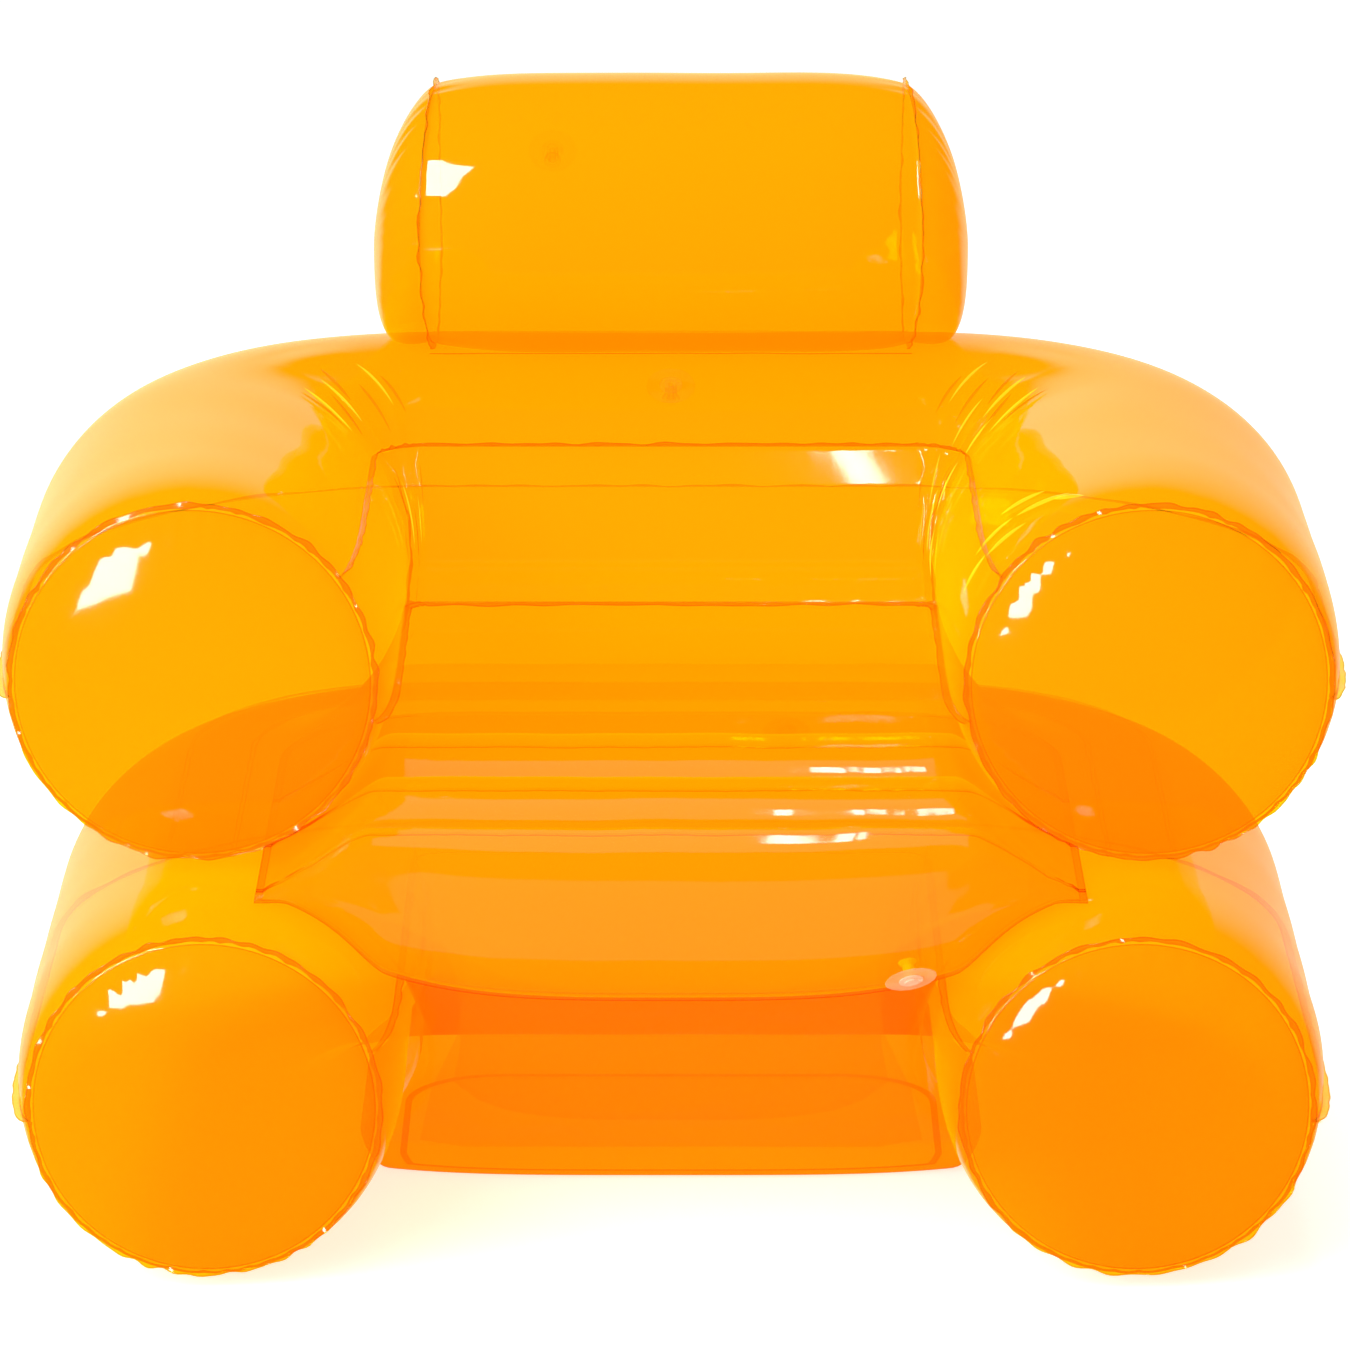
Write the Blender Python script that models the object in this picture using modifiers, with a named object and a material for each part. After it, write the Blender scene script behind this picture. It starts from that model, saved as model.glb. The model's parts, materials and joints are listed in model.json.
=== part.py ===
# Inflatable armchair, built from welded film panels.
# Two stacked U-shaped tubes, a channelled seat bag between them, a headrest roll and four valves.
# Units are metres, +Z up, +X to the sitter's left. The chair faces -Y.

import math

import bmesh
import bpy
from mathutils import Matrix, Vector

# Film and welds
FILM = 0.0004
WELD_GAP = 0.0003
LIP = 0.006
PITCH = FILM + WELD_GAP

# Base tube, a U lying on the floor
BASE_HALF_SPAN = 0.393
BASE_RADIUS = 0.165
BASE_GATHER = 0.021
BASE_FRONT = -0.431
BASE_INNER_SEAM_DEG = 19.0

# Arm tube, a U stacked on the base tube
ARM_HALF_SPAN = 0.406
ARM_RADIUS = 0.170
ARM_GATHER = 0.019
ARM_FRONT = -0.289
ARM_UPPER_SEAM_DEG = 36.0
ARM_LOWER_SEAM_DEG = -13.0

# Shared by both tubes
BACK_LINE = 0.284
CORNER_RADIUS = 0.186
CONTACT_HALF = 0.0265
TAPER_LENGTH = 0.130
DISC_BULGE = 0.028
OUTER_SEAM_DEG = 185.0

# Headrest roll
HEAD_RADIUS = 0.1285
HEAD_GATHER = 0.0105
HEAD_HALF_LENGTH = 0.220
HEAD_CAP_BULGE = 0.050
HEAD_SEAT_HALF = 0.045

# Seat bag
SEAT_HALF_WIDTH = 0.346
SEAT_CORNER_Y = -0.361
SEAT_REAR_Y = 0.214
SEAT_REAR_CORNER = 0.150
SEAT_CREST = 0.400
SEAT_VALLEY = 0.374
SEAT_SEAM_Y = (-0.338, -0.206, -0.071)
SEAT_FALL_Y = 0.099
ROLL_Y = -0.339
ROLL_Z = 0.312
ROLL_RADIUS = 0.078
CREASE_Y = -0.333
CREASE_Z = 0.232
BAG_TOE_Y = -0.126
BAG_FOOT_DEG = 138.0
BAG_CORNER = 0.028
BAG_SIDE_SETBACK = 0.060
BAG_CLEAR = 0.0095
CREASE_LIP_DEG = 53.0
FLOOR_CLEAR = 0.0008
PINCH_SHARE = 0.96
PINCH_POWER = 3.5

# Valve, one size used four times
FLANGE_RADIUS = 0.0225
FLANGE_THICK = 0.0008
STEM_RADIUS = 0.0052
STEM_BORE = 0.0030
STEM_LENGTH = 0.0170
STEM_FIT = 0.0008
SHOULDER_RADIUS = 0.0080
SHOULDER_HEIGHT = 0.0040
COLLAR_RADIUS = 0.0105
COLLAR_THICK = 0.0010
PLUG_HEAD_RADIUS = 0.0058
PLUG_HEAD_THICK = 0.0016
PLUG_STUB_RADIUS = 0.0025
PLUG_STUB_TIP = 0.0015
PLUG_STUB_LENGTH = 0.0050
STRAP_REACH = 0.0095
STRAP_WIDTH = 0.0040
STRAP_THICK = 0.0010
FLAP_RADIUS = 0.0046
FLAP_THICK = 0.0005
HOLE_RADIUS = 0.0095
SEAT_VALVE_SHARE = 0.586
SEAT_VALVE_DEG = 53.0
BACK_VALVE_DEG = 58.4
BASE_VALVE_DEG = 150.0
HEAD_VALVE_DEG = 165.0

# Facet counts
DISC_STEPS = 28
CORNER_STEPS = 6
HEAD_STEPS = 23
VALVE_STEPS = 16
SECTION_STEP_DEG = 18.0
SEAT_COLUMNS = 16
ROLL_STEPS = 9
BAFFLE_ROWS = 7
RIM_STEPS = 8

# Where the rings of a panel are set, as shares of its length or as angles
TAPER_SHARES = (0.04, 0.15, 0.34, 0.62, 1.0)
SLEEVE_SHARES = (-0.86, -0.6, 0.0, 0.6, 0.86)
WALL_LEVEL_SHARES = (0.2, 0.4, 0.6, 0.8, 1.0, 1.35, 1.7, 2.0)
BOTTOM_SHARES = (1.0, 0.6, 0.2, 0.0)
DISC_DEGS = (18.0, 36.0, 56.0, 75.0)
CAP_DEGS = (20.0, 38.0, 55.0, 72.0, 90.0)
FOOT_DEGS = (45.0, 90.0)
ROLL_START_DEG = 105.0
ROLL_END_DEG = 255.0

# Sizes that follow from the tubes resting on each other
BASE_END_RADIUS = BASE_RADIUS - BASE_GATHER
ARM_END_RADIUS = ARM_RADIUS - ARM_GATHER
HEAD_END_RADIUS = HEAD_RADIUS - HEAD_GATHER
BASE_FLAT = math.sqrt(BASE_RADIUS ** 2 - CONTACT_HALF ** 2)
ARM_FLAT = math.sqrt(ARM_RADIUS ** 2 - CONTACT_HALF ** 2)
BASE_Z = BASE_FLAT + FILM / 2
JOIN_Z = BASE_Z + BASE_FLAT + PITCH / 2
ARM_Z = JOIN_Z + PITCH / 2 + ARM_FLAT
HEAD_DROP = math.sqrt(HEAD_RADIUS ** 2 - HEAD_SEAT_HALF ** 2)
HEAD_FLAT = math.sqrt(ARM_RADIUS ** 2 - HEAD_SEAT_HALF ** 2)
HEAD_Z = ARM_Z + HEAD_FLAT + PITCH + HEAD_DROP
REST_REACH = BASE_HALF_SPAN - SEAT_HALF_WIDTH - LIP
REST_DEG = math.degrees(math.acos(REST_REACH / BASE_RADIUS))
SEAT_SEAM_Z = BASE_Z + math.sqrt(BASE_RADIUS ** 2 - REST_REACH ** 2) + FILM + WELD_GAP + PITCH / 2


def clear_scene():
    for obj in list(bpy.data.objects):
        bpy.data.objects.remove(obj, do_unlink=True)


def collection(name):
    group = bpy.data.collections.new(name)
    bpy.context.scene.collection.children.link(group)
    return group


def material(name, colour, roughness, alpha=1.0):
    mat = bpy.data.materials.new(name)
    mat.use_nodes = True
    shader = mat.node_tree.nodes["Principled BSDF"]
    shader.inputs["Base Color"].default_value = (*colour, 1.0)
    shader.inputs["Roughness"].default_value = roughness
    shader.inputs["Metallic"].default_value = 0.0
    shader.inputs["Alpha"].default_value = alpha
    return mat


def new_object(name, mesh, group, mat=None):
    obj = bpy.data.objects.new(name, mesh)
    group.objects.link(obj)
    if mat:
        mesh.materials.append(mat)
    return obj


def sheet(name, rows, group, mat, closed=False):
    """A flat grid bent so that its rows follow the given points, then thickened to the film."""
    wide = len(rows[0]) + (1 if closed else 0)
    bm = bmesh.new()
    bmesh.ops.create_grid(bm, x_segments=wide - 1, y_segments=len(rows) - 1)
    bm.verts.ensure_lookup_table()
    for index, vert in enumerate(bm.verts):
        row = rows[index // wide]
        vert.co = row[(index % wide) % len(row)]
    bmesh.ops.remove_doubles(bm, verts=bm.verts, dist=WELD_GAP / 10)
    bmesh.ops.recalc_face_normals(bm, faces=bm.faces)
    mesh = bpy.data.meshes.new(name)
    bm.to_mesh(mesh)
    bm.free()
    obj = new_object(name, mesh, group, mat)
    return thicken(obj)


def thicken(obj):
    """Gives a surface the thickness of the film, half to each side."""
    solid = obj.modifiers.new("film", "SOLIDIFY")
    solid.thickness = FILM
    solid.offset = 0.0
    solid.use_even_offset = False
    solid.use_rim = True
    return obj


def turned(name, profile, steps, group, mat, closed=True):
    """Turns a profile of (radius, height) points round the local Z axis."""
    mesh = bpy.data.meshes.new(name)
    edges = [(index, index + 1) for index in range(len(profile) - 1)]
    if closed:
        edges.append((len(profile) - 1, 0))
    mesh.from_pydata([(r, 0.0, z) for r, z in profile], edges, [])
    obj = new_object(name, mesh, group, mat)
    screw = obj.modifiers.new("turn", "SCREW")
    screw.steps = steps
    screw.render_steps = steps
    screw.use_merge_vertices = True
    screw.merge_threshold = WELD_GAP / 10
    return obj


def arc(centre, radius, start_deg, end_deg, count):
    """Points on an arc, both ends included."""
    points = []
    for index in range(count + 1):
        angle = math.radians(start_deg + (end_deg - start_deg) * index / count)
        points.append((centre[0] + radius * math.cos(angle), centre[1] + radius * math.sin(angle)))
    return points


def spread(start, end, count):
    """Evenly spaced values, both ends included."""
    return [start + (end - start) * index / count for index in range(count + 1)]


def smooth_min(a, b, blend):
    mix = max(0.0, min(1.0, 0.5 + 0.5 * (b - a) / blend))
    return b + (a - b) * mix - blend * mix * (1.0 - mix)


def smooth_max(a, b, blend):
    return -smooth_min(-a, -b, blend)


# Tubes: stations along a U, and a section carried along them

def taper_share(distance):
    """How far a tube has swelled from its end weld to its full radius, from 0 to 1."""
    share = max(0.0, min(1.0, distance / TAPER_LENGTH))
    return math.sqrt(1.0 - (1.0 - share) ** 2)


def tube_stations(half_span, radius, end_radius, front):
    """(centre x, y), inward direction and radius, from the left front round the back to the right."""
    swell = radius - end_radius
    side = [(PITCH / 2, end_radius + LIP), (PITCH, end_radius)]
    for share in TAPER_SHARES:
        distance = share * TAPER_LENGTH
        side.append((distance, end_radius + swell * taper_share(distance)))
    corner_y = BACK_LINE - CORNER_RADIUS
    side.append(((TAPER_LENGTH + corner_y - front) / 2, radius))
    left = []
    for along, here in side:
        left.append((Vector((-half_span, front + along, 0.0)), Vector((1.0, 0.0, 0.0)), here))
    corner = Vector((-half_span + CORNER_RADIUS, corner_y, 0.0))
    for x, y in arc((0.0, 0.0), 1.0, 180.0, 90.0, CORNER_STEPS):
        outward = Vector((x, y, 0.0))
        left.append((corner + outward * CORNER_RADIUS, -outward, radius))
    middle = (Vector((0.0, BACK_LINE, 0.0)), Vector((0.0, -1.0, 0.0)), radius)
    right = []
    for centre, inward, here in reversed(left):
        right.append((Vector((-centre.x, centre.y, 0.0)), Vector((-inward.x, inward.y, 0.0)), here))
    return [*left, middle, *right]


def section_angles(start, end, flat_deg, extra):
    """Angles of a panel's section: even steps, with the edges of the flats and extra marks among them."""
    fixed = [start, end, *extra]
    for crown in (-90.0, 90.0, 270.0):
        fixed += [crown - flat_deg, crown + flat_deg]
    fixed = sorted(mark for mark in fixed if start <= mark <= end)
    marks = [start]
    for left, right in zip(fixed, fixed[1:]):
        count = max(1, round((right - left) / SECTION_STEP_DEG))
        marks += spread(left, right, count)[1:]
    return marks


def tube_panel(name, stations, height, angles, low, high, gaps, group, mat):
    """One panel of a tube. The angle is 0 on the inner side, 90 on top and 180 on the outer side.

    low and high are the heights of the flats below and above the tube's centre, and gaps shift the
    first and last lip so that two panels' lips lie face to face.
    """
    rows = []
    for centre, inward, radius in stations:
        row = []
        top = high(centre.x)
        for index, mark in enumerate(angles):
            turn = math.radians(mark)
            ray = inward * math.cos(turn) + Vector((0.0, 0.0, math.sin(turn)))
            across = inward * -math.sin(turn) + Vector((0.0, 0.0, math.cos(turn)))
            point = ray * radius
            point.z = max(-low, min(top, point.z))
            if index == 0:
                root = point + across * gaps[0]
                row += [root + ray * LIP, root]
            elif index == len(angles) - 1:
                root = point + across * gaps[1]
                row += [root, root + ray * LIP]
            else:
                row.append(point)
        rows.append([Vector((centre.x, centre.y, height)) + point for point in row])
    return sheet(name, rows, group, mat)


def end_disc(name, centre, end_radius, group, mat):
    """The round sheet that closes a tube's front: a lip and a bulge that faces forward."""
    profile = [(end_radius + LIP, 0.0), (end_radius, 0.0)]
    for angle in DISC_DEGS:
        turn = math.radians(angle)
        profile.append((end_radius * math.cos(turn), DISC_BULGE * math.sin(turn)))
    profile.append((0.0, DISC_BULGE))
    obj = turned(name, profile, DISC_STEPS, group, mat, closed=False)
    obj.rotation_euler = (math.radians(90.0), 0.0, 0.0)
    obj.location = centre
    return thicken(obj)


def build_tube(prefix, half_span, radius, end_radius, front, height, seams, low, high, extra, group, mat):
    """A U tube: its panels, named top, inner or bottom, and the two end discs."""
    stations = tube_stations(half_span, radius, end_radius, front)
    flat_deg = math.degrees(math.asin(CONTACT_HALF / radius))
    gaps = (PITCH / 2, -PITCH / 2)
    for word, (start, end) in seams.items():
        angles = section_angles(start, end, flat_deg, extra)
        tube_panel(prefix + "_" + word + "_panel", stations, height, angles, low, high, gaps, group, mat)
    for side, word in ((-1, "right"), (1, "left")):
        end_disc(prefix + "_end_disc_" + word, (side * half_span, front - PITCH / 2, height),
                 end_radius, group, mat)


def build_base_tube(group, mat):
    seams = {"top": (BASE_INNER_SEAM_DEG, OUTER_SEAM_DEG),
             "bottom": (OUTER_SEAM_DEG, 360.0 + BASE_INNER_SEAM_DEG)}
    build_tube("base", BASE_HALF_SPAN, BASE_RADIUS, BASE_END_RADIUS, BASE_FRONT, BASE_Z, seams,
               BASE_FLAT, lambda x: BASE_FLAT, [REST_DEG], group, mat)


def arm_top_height(x):
    """The arm tube is pressed flat under the headrest and round elsewhere."""
    return HEAD_FLAT if abs(x) < HEAD_HALF_LENGTH + LIP else ARM_RADIUS


def build_arm_tube(group, mat):
    seams = {"top": (ARM_UPPER_SEAM_DEG, OUTER_SEAM_DEG),
             "inner": (ARM_LOWER_SEAM_DEG, ARM_UPPER_SEAM_DEG),
             "bottom": (OUTER_SEAM_DEG, 360.0 + ARM_LOWER_SEAM_DEG)}
    build_tube("arm", ARM_HALF_SPAN, ARM_RADIUS, ARM_END_RADIUS, ARM_FRONT, ARM_Z, seams,
               ARM_FLAT, arm_top_height, [], group, mat)


# Headrest roll

def head_ring(along, radius, lip, share=1.0):
    """A section of the roll at x = along: round, and flat below where it sits on the arm tube.

    share draws the section in towards its middle, for the bulged end caps.
    """
    half_deg = math.degrees(math.asin(HEAD_SEAT_HALF / HEAD_RADIUS))
    ring = []
    for y, z in arc((0.0, 0.0), 1.0, -90.0 + half_deg, 270.0 - half_deg, HEAD_STEPS):
        up = max(z * (radius + lip), -HEAD_DROP)
        ring.append(Vector((along, BACK_LINE + y * (radius + lip) * share, HEAD_Z + up * share)))
    return ring


def build_headrest(group, mat):
    edge = HEAD_HALF_LENGTH - PITCH / 2
    sleeve = [head_ring(-edge, HEAD_END_RADIUS, LIP), head_ring(-edge + PITCH, HEAD_END_RADIUS, 0.0)]
    for share in SLEEVE_SHARES:
        sleeve.append(head_ring(share * edge, HEAD_RADIUS - HEAD_GATHER * share ** 4, 0.0))
    sleeve += [head_ring(edge - PITCH, HEAD_END_RADIUS, 0.0), head_ring(edge, HEAD_END_RADIUS, LIP)]
    sheet("headrest_sleeve", sleeve, group, mat, closed=True)
    for side, word in ((-1, "right"), (1, "left")):
        start = HEAD_HALF_LENGTH + PITCH / 2
        rings = [head_ring(side * start, HEAD_END_RADIUS, LIP)]
        rings.append(head_ring(side * (start + PITCH), HEAD_END_RADIUS, 0.0))
        for angle in CAP_DEGS:
            turn = math.radians(angle)
            out = start + PITCH + HEAD_CAP_BULGE * math.sin(turn)
            drawn = math.sqrt(max(0.0, math.cos(turn)))
            rings.append(head_ring(side * out, HEAD_END_RADIUS, 0.0, drawn))
        sheet("headrest_cap_" + word, rings, group, mat, closed=True)


# Seat bag

def tube_distance(x, y, half_span):
    """Distance in plan from a tube's centre line."""
    across = abs(x) - (half_span - CORNER_RADIUS)
    along = y - (BACK_LINE - CORNER_RADIUS)
    if along <= 0.0:
        return abs(half_span - abs(x))
    if across <= 0.0:
        return abs(BACK_LINE - y)
    return abs(CORNER_RADIUS - math.hypot(across, along))


def under_arm(x, y):
    """Height of the arm tube's underside over a point, where the seat has to stay below it."""
    distance = tube_distance(x, y, ARM_HALF_SPAN)
    return ARM_Z - math.sqrt(max(0.0, ARM_RADIUS ** 2 - distance ** 2)) - BAG_CLEAR


def over_base(x, y):
    """Height of the base tube's upper side over a point, where the seat has to stay above it."""
    distance = tube_distance(x, y, BASE_HALF_SPAN)
    if distance >= BASE_RADIUS:
        return BASE_Z
    return BASE_Z + math.sqrt(BASE_RADIUS ** 2 - distance ** 2) + BAG_CLEAR


def seam_half_width(y):
    """Half the width of the seat's weld at y, drawn in round the rear corners."""
    past = y - (SEAT_REAR_Y - SEAT_REAR_CORNER)
    if past <= 0.0:
        return SEAT_HALF_WIDTH
    inner = SEAT_HALF_WIDTH - SEAT_REAR_CORNER
    return inner + math.sqrt(max(0.0, SEAT_REAR_CORNER ** 2 - past ** 2))


def crown(y):
    """Height of the seat's top along its centre line: channels with a weld between them."""
    rise = SEAT_CREST - SEAT_VALLEY
    if y >= SEAT_FALL_Y:
        fall = (y - SEAT_FALL_Y) / (SEAT_REAR_Y - SEAT_FALL_Y)
        return SEAT_CREST - (SEAT_CREST - SEAT_SEAM_Z) * fall ** 2
    if y > SEAT_SEAM_Y[2]:
        reach = (SEAT_FALL_Y - y) / (SEAT_FALL_Y - SEAT_SEAM_Y[2])
        return SEAT_VALLEY + rise * math.sqrt(1.0 - reach ** 2)
    for left, right in zip(SEAT_SEAM_Y, SEAT_SEAM_Y[1:]):
        if left < y < right:
            reach = (2 * y - left - right) / (right - left)
            return SEAT_VALLEY + rise * math.sqrt(1.0 - reach ** 2)
    return SEAT_VALLEY


def pinch(share):
    """How full the bag is across its width at the front: 1 in the middle, almost 0 at the corner."""
    return 1.0 - PINCH_SHARE * abs(share) ** PINCH_POWER


def crease_point(share):
    """The weld below the front roll, which lifts onto the base tube at both sides."""
    full = pinch(share)
    x = share * SEAT_HALF_WIDTH
    y = SEAT_CORNER_Y + (CREASE_Y - SEAT_CORNER_Y) * full
    z = SEAT_SEAM_Z + (CREASE_Z - SEAT_SEAM_Z) * full
    blend = BAG_CLEAR * 2
    z = min(smooth_max(z, over_base(x, y), blend), SEAT_SEAM_Z)
    return Vector((x, y, z))


def crease_lip(share):
    """The way the crease's lips point, and the way across them towards the roll's side."""
    turn = math.radians(CREASE_LIP_DEG) * pinch(share)
    out = Vector((0.0, -math.cos(turn), -math.sin(turn)))
    step = 1.0 / SEAT_COLUMNS
    along = crease_point(min(1.0, share + step)) - crease_point(max(-1.0, share - step))
    across = along.cross(out).normalized() if abs(share) < 1.0 else Vector((0.0, 0.0, -1.0))
    return out * LIP, across * -(PITCH - WELD_GAP / 2)


def top_point(share, y):
    """A point of the seat's upper side, kept below the arm tube and drawn down to the weld."""
    x = share * seam_half_width(y)
    if abs(share) == 1.0 or y == SEAT_REAR_Y:
        return Vector((x, y, SEAT_SEAM_Z))
    height = smooth_min(crown(y), under_arm(x, y), BAG_CLEAR * 4)
    return Vector((x, y, max(height, SEAT_SEAM_Z)))


def roll_rows(shares):
    """The front roll: from the first weld over the front to the crease, pinched to a point at the sides."""
    first = Vector((0.0, SEAT_SEAM_Y[0], SEAT_VALLEY))
    chord = crease_point(0.0) - first
    across = Vector((0.0, chord.z, -chord.y)).normalized()
    rows = []
    for y, z in arc((ROLL_Y, ROLL_Z), ROLL_RADIUS, ROLL_START_DEG, ROLL_END_DEG, ROLL_STEPS):
        offset = Vector((0.0, y, z)) - first
        along = offset.dot(chord) / chord.length_squared
        bulge = offset.dot(across)
        row = []
        for share in shares:
            start = top_point(share, SEAT_SEAM_Y[0])
            end = crease_point(share)
            row.append(start + (end - start) * along + across * bulge * pinch(share))
        rows.append(row)
    return rows


def build_seat_top(group, mat):
    shares = spread(-1.0, 1.0, SEAT_COLUMNS)
    rows = []
    for start, end, count in ((SEAT_REAR_Y, SEAT_FALL_Y, 4), (SEAT_FALL_Y, SEAT_SEAM_Y[2], 3),
                              (SEAT_SEAM_Y[2], SEAT_SEAM_Y[1], 5), (SEAT_SEAM_Y[1], SEAT_SEAM_Y[0], 5)):
        for y in spread(start, end, count)[:-1]:
            rows.append([top_point(share, y) for share in shares])
    rows.append([top_point(share, SEAT_SEAM_Y[0]) for share in shares])
    rows += roll_rows(shares)
    lift = Vector((0.0, 0.0, PITCH / 2))
    behind = Vector((0.0, LIP, 0.0))
    rows = [[point + behind for point in rows[0]], *rows]
    rows = [[point + lift for point in row] for row in rows]
    crease = []
    lip = []
    for share in shares:
        out, across = crease_lip(share)
        crease.append(crease_point(share) + across)
        lip.append(crease[-1] + out)
    rows += [crease, lip]
    side = Vector((LIP, 0.0, 0.0))
    rows = [[row[0] - side, *row, row[-1] + side] for row in rows]
    return sheet("seat_top_panel", rows, group, mat)


def bag_front(z):
    """How far forward the bag's lower front reaches at a height."""
    if z >= CREASE_Z:
        rise = (z - CREASE_Z) / (SEAT_SEAM_Z - CREASE_Z)
        return CREASE_Y + (SEAT_CORNER_Y - CREASE_Y) * rise
    share = z / CREASE_Z
    bulge = BAG_CORNER * math.sin(math.pi * share)
    return BAG_TOE_Y + (CREASE_Y - BAG_TOE_Y) * share - bulge


def bag_height(level, start_z):
    """Height and sideways reach of the tube's wall at a level of the bag, below a starting height."""
    reach = BASE_RADIUS + BAG_CLEAR
    middle = math.pi / 2
    if level > 1.0:
        turn = middle + (math.radians(BAG_FOOT_DEG) - middle) * (level - 1.0)
    else:
        start = math.acos(min(1.0, (start_z - BASE_Z) / reach))
        turn = start + (middle - start) * level
    return BASE_Z + reach * math.cos(turn), reach * math.sin(turn)


def bag_outline(level):
    """A loop round the lower bag. level 0 is the weld, 1 the base tube's middle, 2 near the floor."""
    loop = []
    for share in spread(-1.0, 1.0, SEAT_COLUMNS):
        crease = crease_point(share)
        z, wall = bag_height(level, crease.z)
        half = BASE_HALF_SPAN - wall - BAG_CLEAR * (1.0 - abs(share)) * 4
        x = math.copysign(min(abs(share) * SEAT_HALF_WIDTH, half), share)
        y = bag_front(z) + BAG_SIDE_SETBACK * share ** 4
        loop.append(Vector((x, y, z)) if level else crease)
    z, wall = bag_height(level, SEAT_SEAM_Z)
    half = SEAT_HALF_WIDTH
    rear = SEAT_REAR_Y
    corner = SEAT_REAR_CORNER
    if level:
        half = min(half, BASE_HALF_SPAN - wall)
        rear = min(rear, BACK_LINE - wall)
        corner = min(corner, CORNER_RADIUS - wall + 3 * BAG_CLEAR)
    else:
        z = SEAT_SEAM_Z
    right = [Vector((half, y, z)) for y in spread(loop[-1].y, rear - corner, 6)[1:]]
    for x, y in arc((half - corner, rear - corner), corner, 0.0, 90.0, 4)[1:]:
        right.append(Vector((x, y, z)))
    left = [Vector((-point.x, point.y, point.z)) for point in reversed(right)]
    middle = [Vector((x, rear, z)) for x in spread(right[-1].x, left[0].x, 6)[1:-1]]
    return loop + right + middle + left


def tuck(loop, in_by, z):
    """A level loop drawn inwards by a distance at its sides, front and rear, at height z."""
    half = max(point.x for point in loop)
    front = min(point.y for point in loop)
    rear = max(point.y for point in loop)
    middle = (front + rear) / 2
    narrow = 1.0 - in_by / half
    short = 1.0 - in_by / (rear - middle)
    return [Vector((point.x * narrow, middle + (point.y - middle) * short, z)) for point in loop]


def build_seat_wall(group, mat):
    """The lower bag's side: lips, wall and a foot turned in on the floor. Gives the foot's last loop."""
    outline = bag_outline(0.0)
    columns = SEAT_COLUMNS + 1
    seam = []
    lip = []
    for index, point in enumerate(outline):
        side = math.copysign(LIP, point.x)
        if index < columns:
            out, across = crease_lip(2.0 * index / SEAT_COLUMNS - 1.0)
            if index in (0, columns - 1):
                out.x = side
        else:
            across = Vector((0.0, 0.0, PITCH / 2))
            before = outline[index - 1]
            after = outline[(index + 1) % len(outline)]
            out = Vector((after.y - before.y, before.x - after.x, 0.0)).normalized() * LIP
        seam.append(point - across)
        lip.append(point - across + out)
    rows = [lip, seam]
    for level in WALL_LEVEL_SHARES:
        rows.append(bag_outline(level))
    foot = rows[-1]
    height = foot[0].z - FLOOR_CLEAR
    for turn_deg in FOOT_DEGS:
        turn = math.radians(turn_deg)
        in_by = BAG_CORNER * (1.0 - math.cos(turn))
        rows.append(tuck(foot, in_by, foot[0].z - height * math.sin(turn)))
    rows.append(tuck(rows[-1], LIP * 2, FLOOR_CLEAR))
    sheet("seat_wall_panel", rows, group, mat, closed=True)
    return rows[-2]


def build_seat_bottom(ring, group, mat):
    """The flat sheet on the floor that closes the bag, lapped over the wall's turned-in foot."""
    edge = tuck(ring, LIP, FLOOR_CLEAR + PITCH)
    centre = sum(edge, Vector()) / len(edge)
    rows = []
    for share in BOTTOM_SHARES:
        rows.append([centre + (point - centre) * share for point in edge])
    return sheet("seat_bottom_panel", rows, group, mat, closed=True)


def bag_half_width(z):
    """Half the width inside the lower bag at a height, behind its front."""
    foot, wall = bag_height(2.0, SEAT_SEAM_Z)
    if z < foot:
        drop = min(1.0, (foot - z) / (foot - FLOOR_CLEAR))
        return BASE_HALF_SPAN - wall - BAG_CORNER * (1.0 - math.sqrt(1.0 - drop ** 2))
    reach = BASE_RADIUS + BAG_CLEAR
    return BASE_HALF_SPAN - math.sqrt(max(0.0, reach ** 2 - (z - BASE_Z) ** 2))


def bag_floor(y, share):
    """Lowest height inside the bag at y, where its front slopes up over the floor."""
    z = FLOOR_CLEAR + PITCH + FILM / 2 + WELD_GAP
    foot, wall = bag_height(2.0, SEAT_SEAM_Z)
    while z < CREASE_Z:
        drawn = BAG_CORNER * max(0.0, 1.0 - z / foot)
        if bag_front(z) + BAG_SIDE_SETBACK * share ** 4 + drawn < y - BAG_CLEAR:
            break
        z += BAG_CLEAR / 10
    return z


def build_baffles(group, mat):
    """Upright sheets inside the seat that hold its welds down. The front one ends at the roll's crease."""
    hang = Vector((0.0, 0.0, FILM / 2 + WELD_GAP - PITCH / 2))
    shares = spread(-1.0, 1.0, SEAT_COLUMNS)[1:-1]
    for number, y in enumerate(SEAT_SEAM_Y, start=1):
        columns = []
        for share in shares:
            top = top_point(share, y) - hang
            if number == 1:
                low = crease_point(share) + Vector((0.0, 0.0, FILM + WELD_GAP))
                low.z = min(low.z, top.z - BAG_CLEAR)
            else:
                low = Vector((top.x, y, bag_floor(y, share)))
            column = []
            for level in spread(0.0, 1.0, BAFFLE_ROWS):
                point = top + (low - top) * level
                if point.z < JOIN_Z - BAG_CLEAR:
                    point.x = share * min(SEAT_HALF_WIDTH, bag_half_width(point.z) - BAG_CLEAR)
                column.append(point)
            columns.append(column)
        sheet("seat_baffle_%d" % number, columns, group, mat)


# Valves

def film_point(film, origin, direction):
    """Where a ray from outside meets the film, and the way out of the film there."""
    found, place, normal, index = film.ray_cast(origin, direction)
    if not found:
        raise ValueError(film.name + " is missed by its valve")
    if normal.dot(direction) > 0.0:
        normal = -normal
    return place, normal.normalized()


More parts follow.
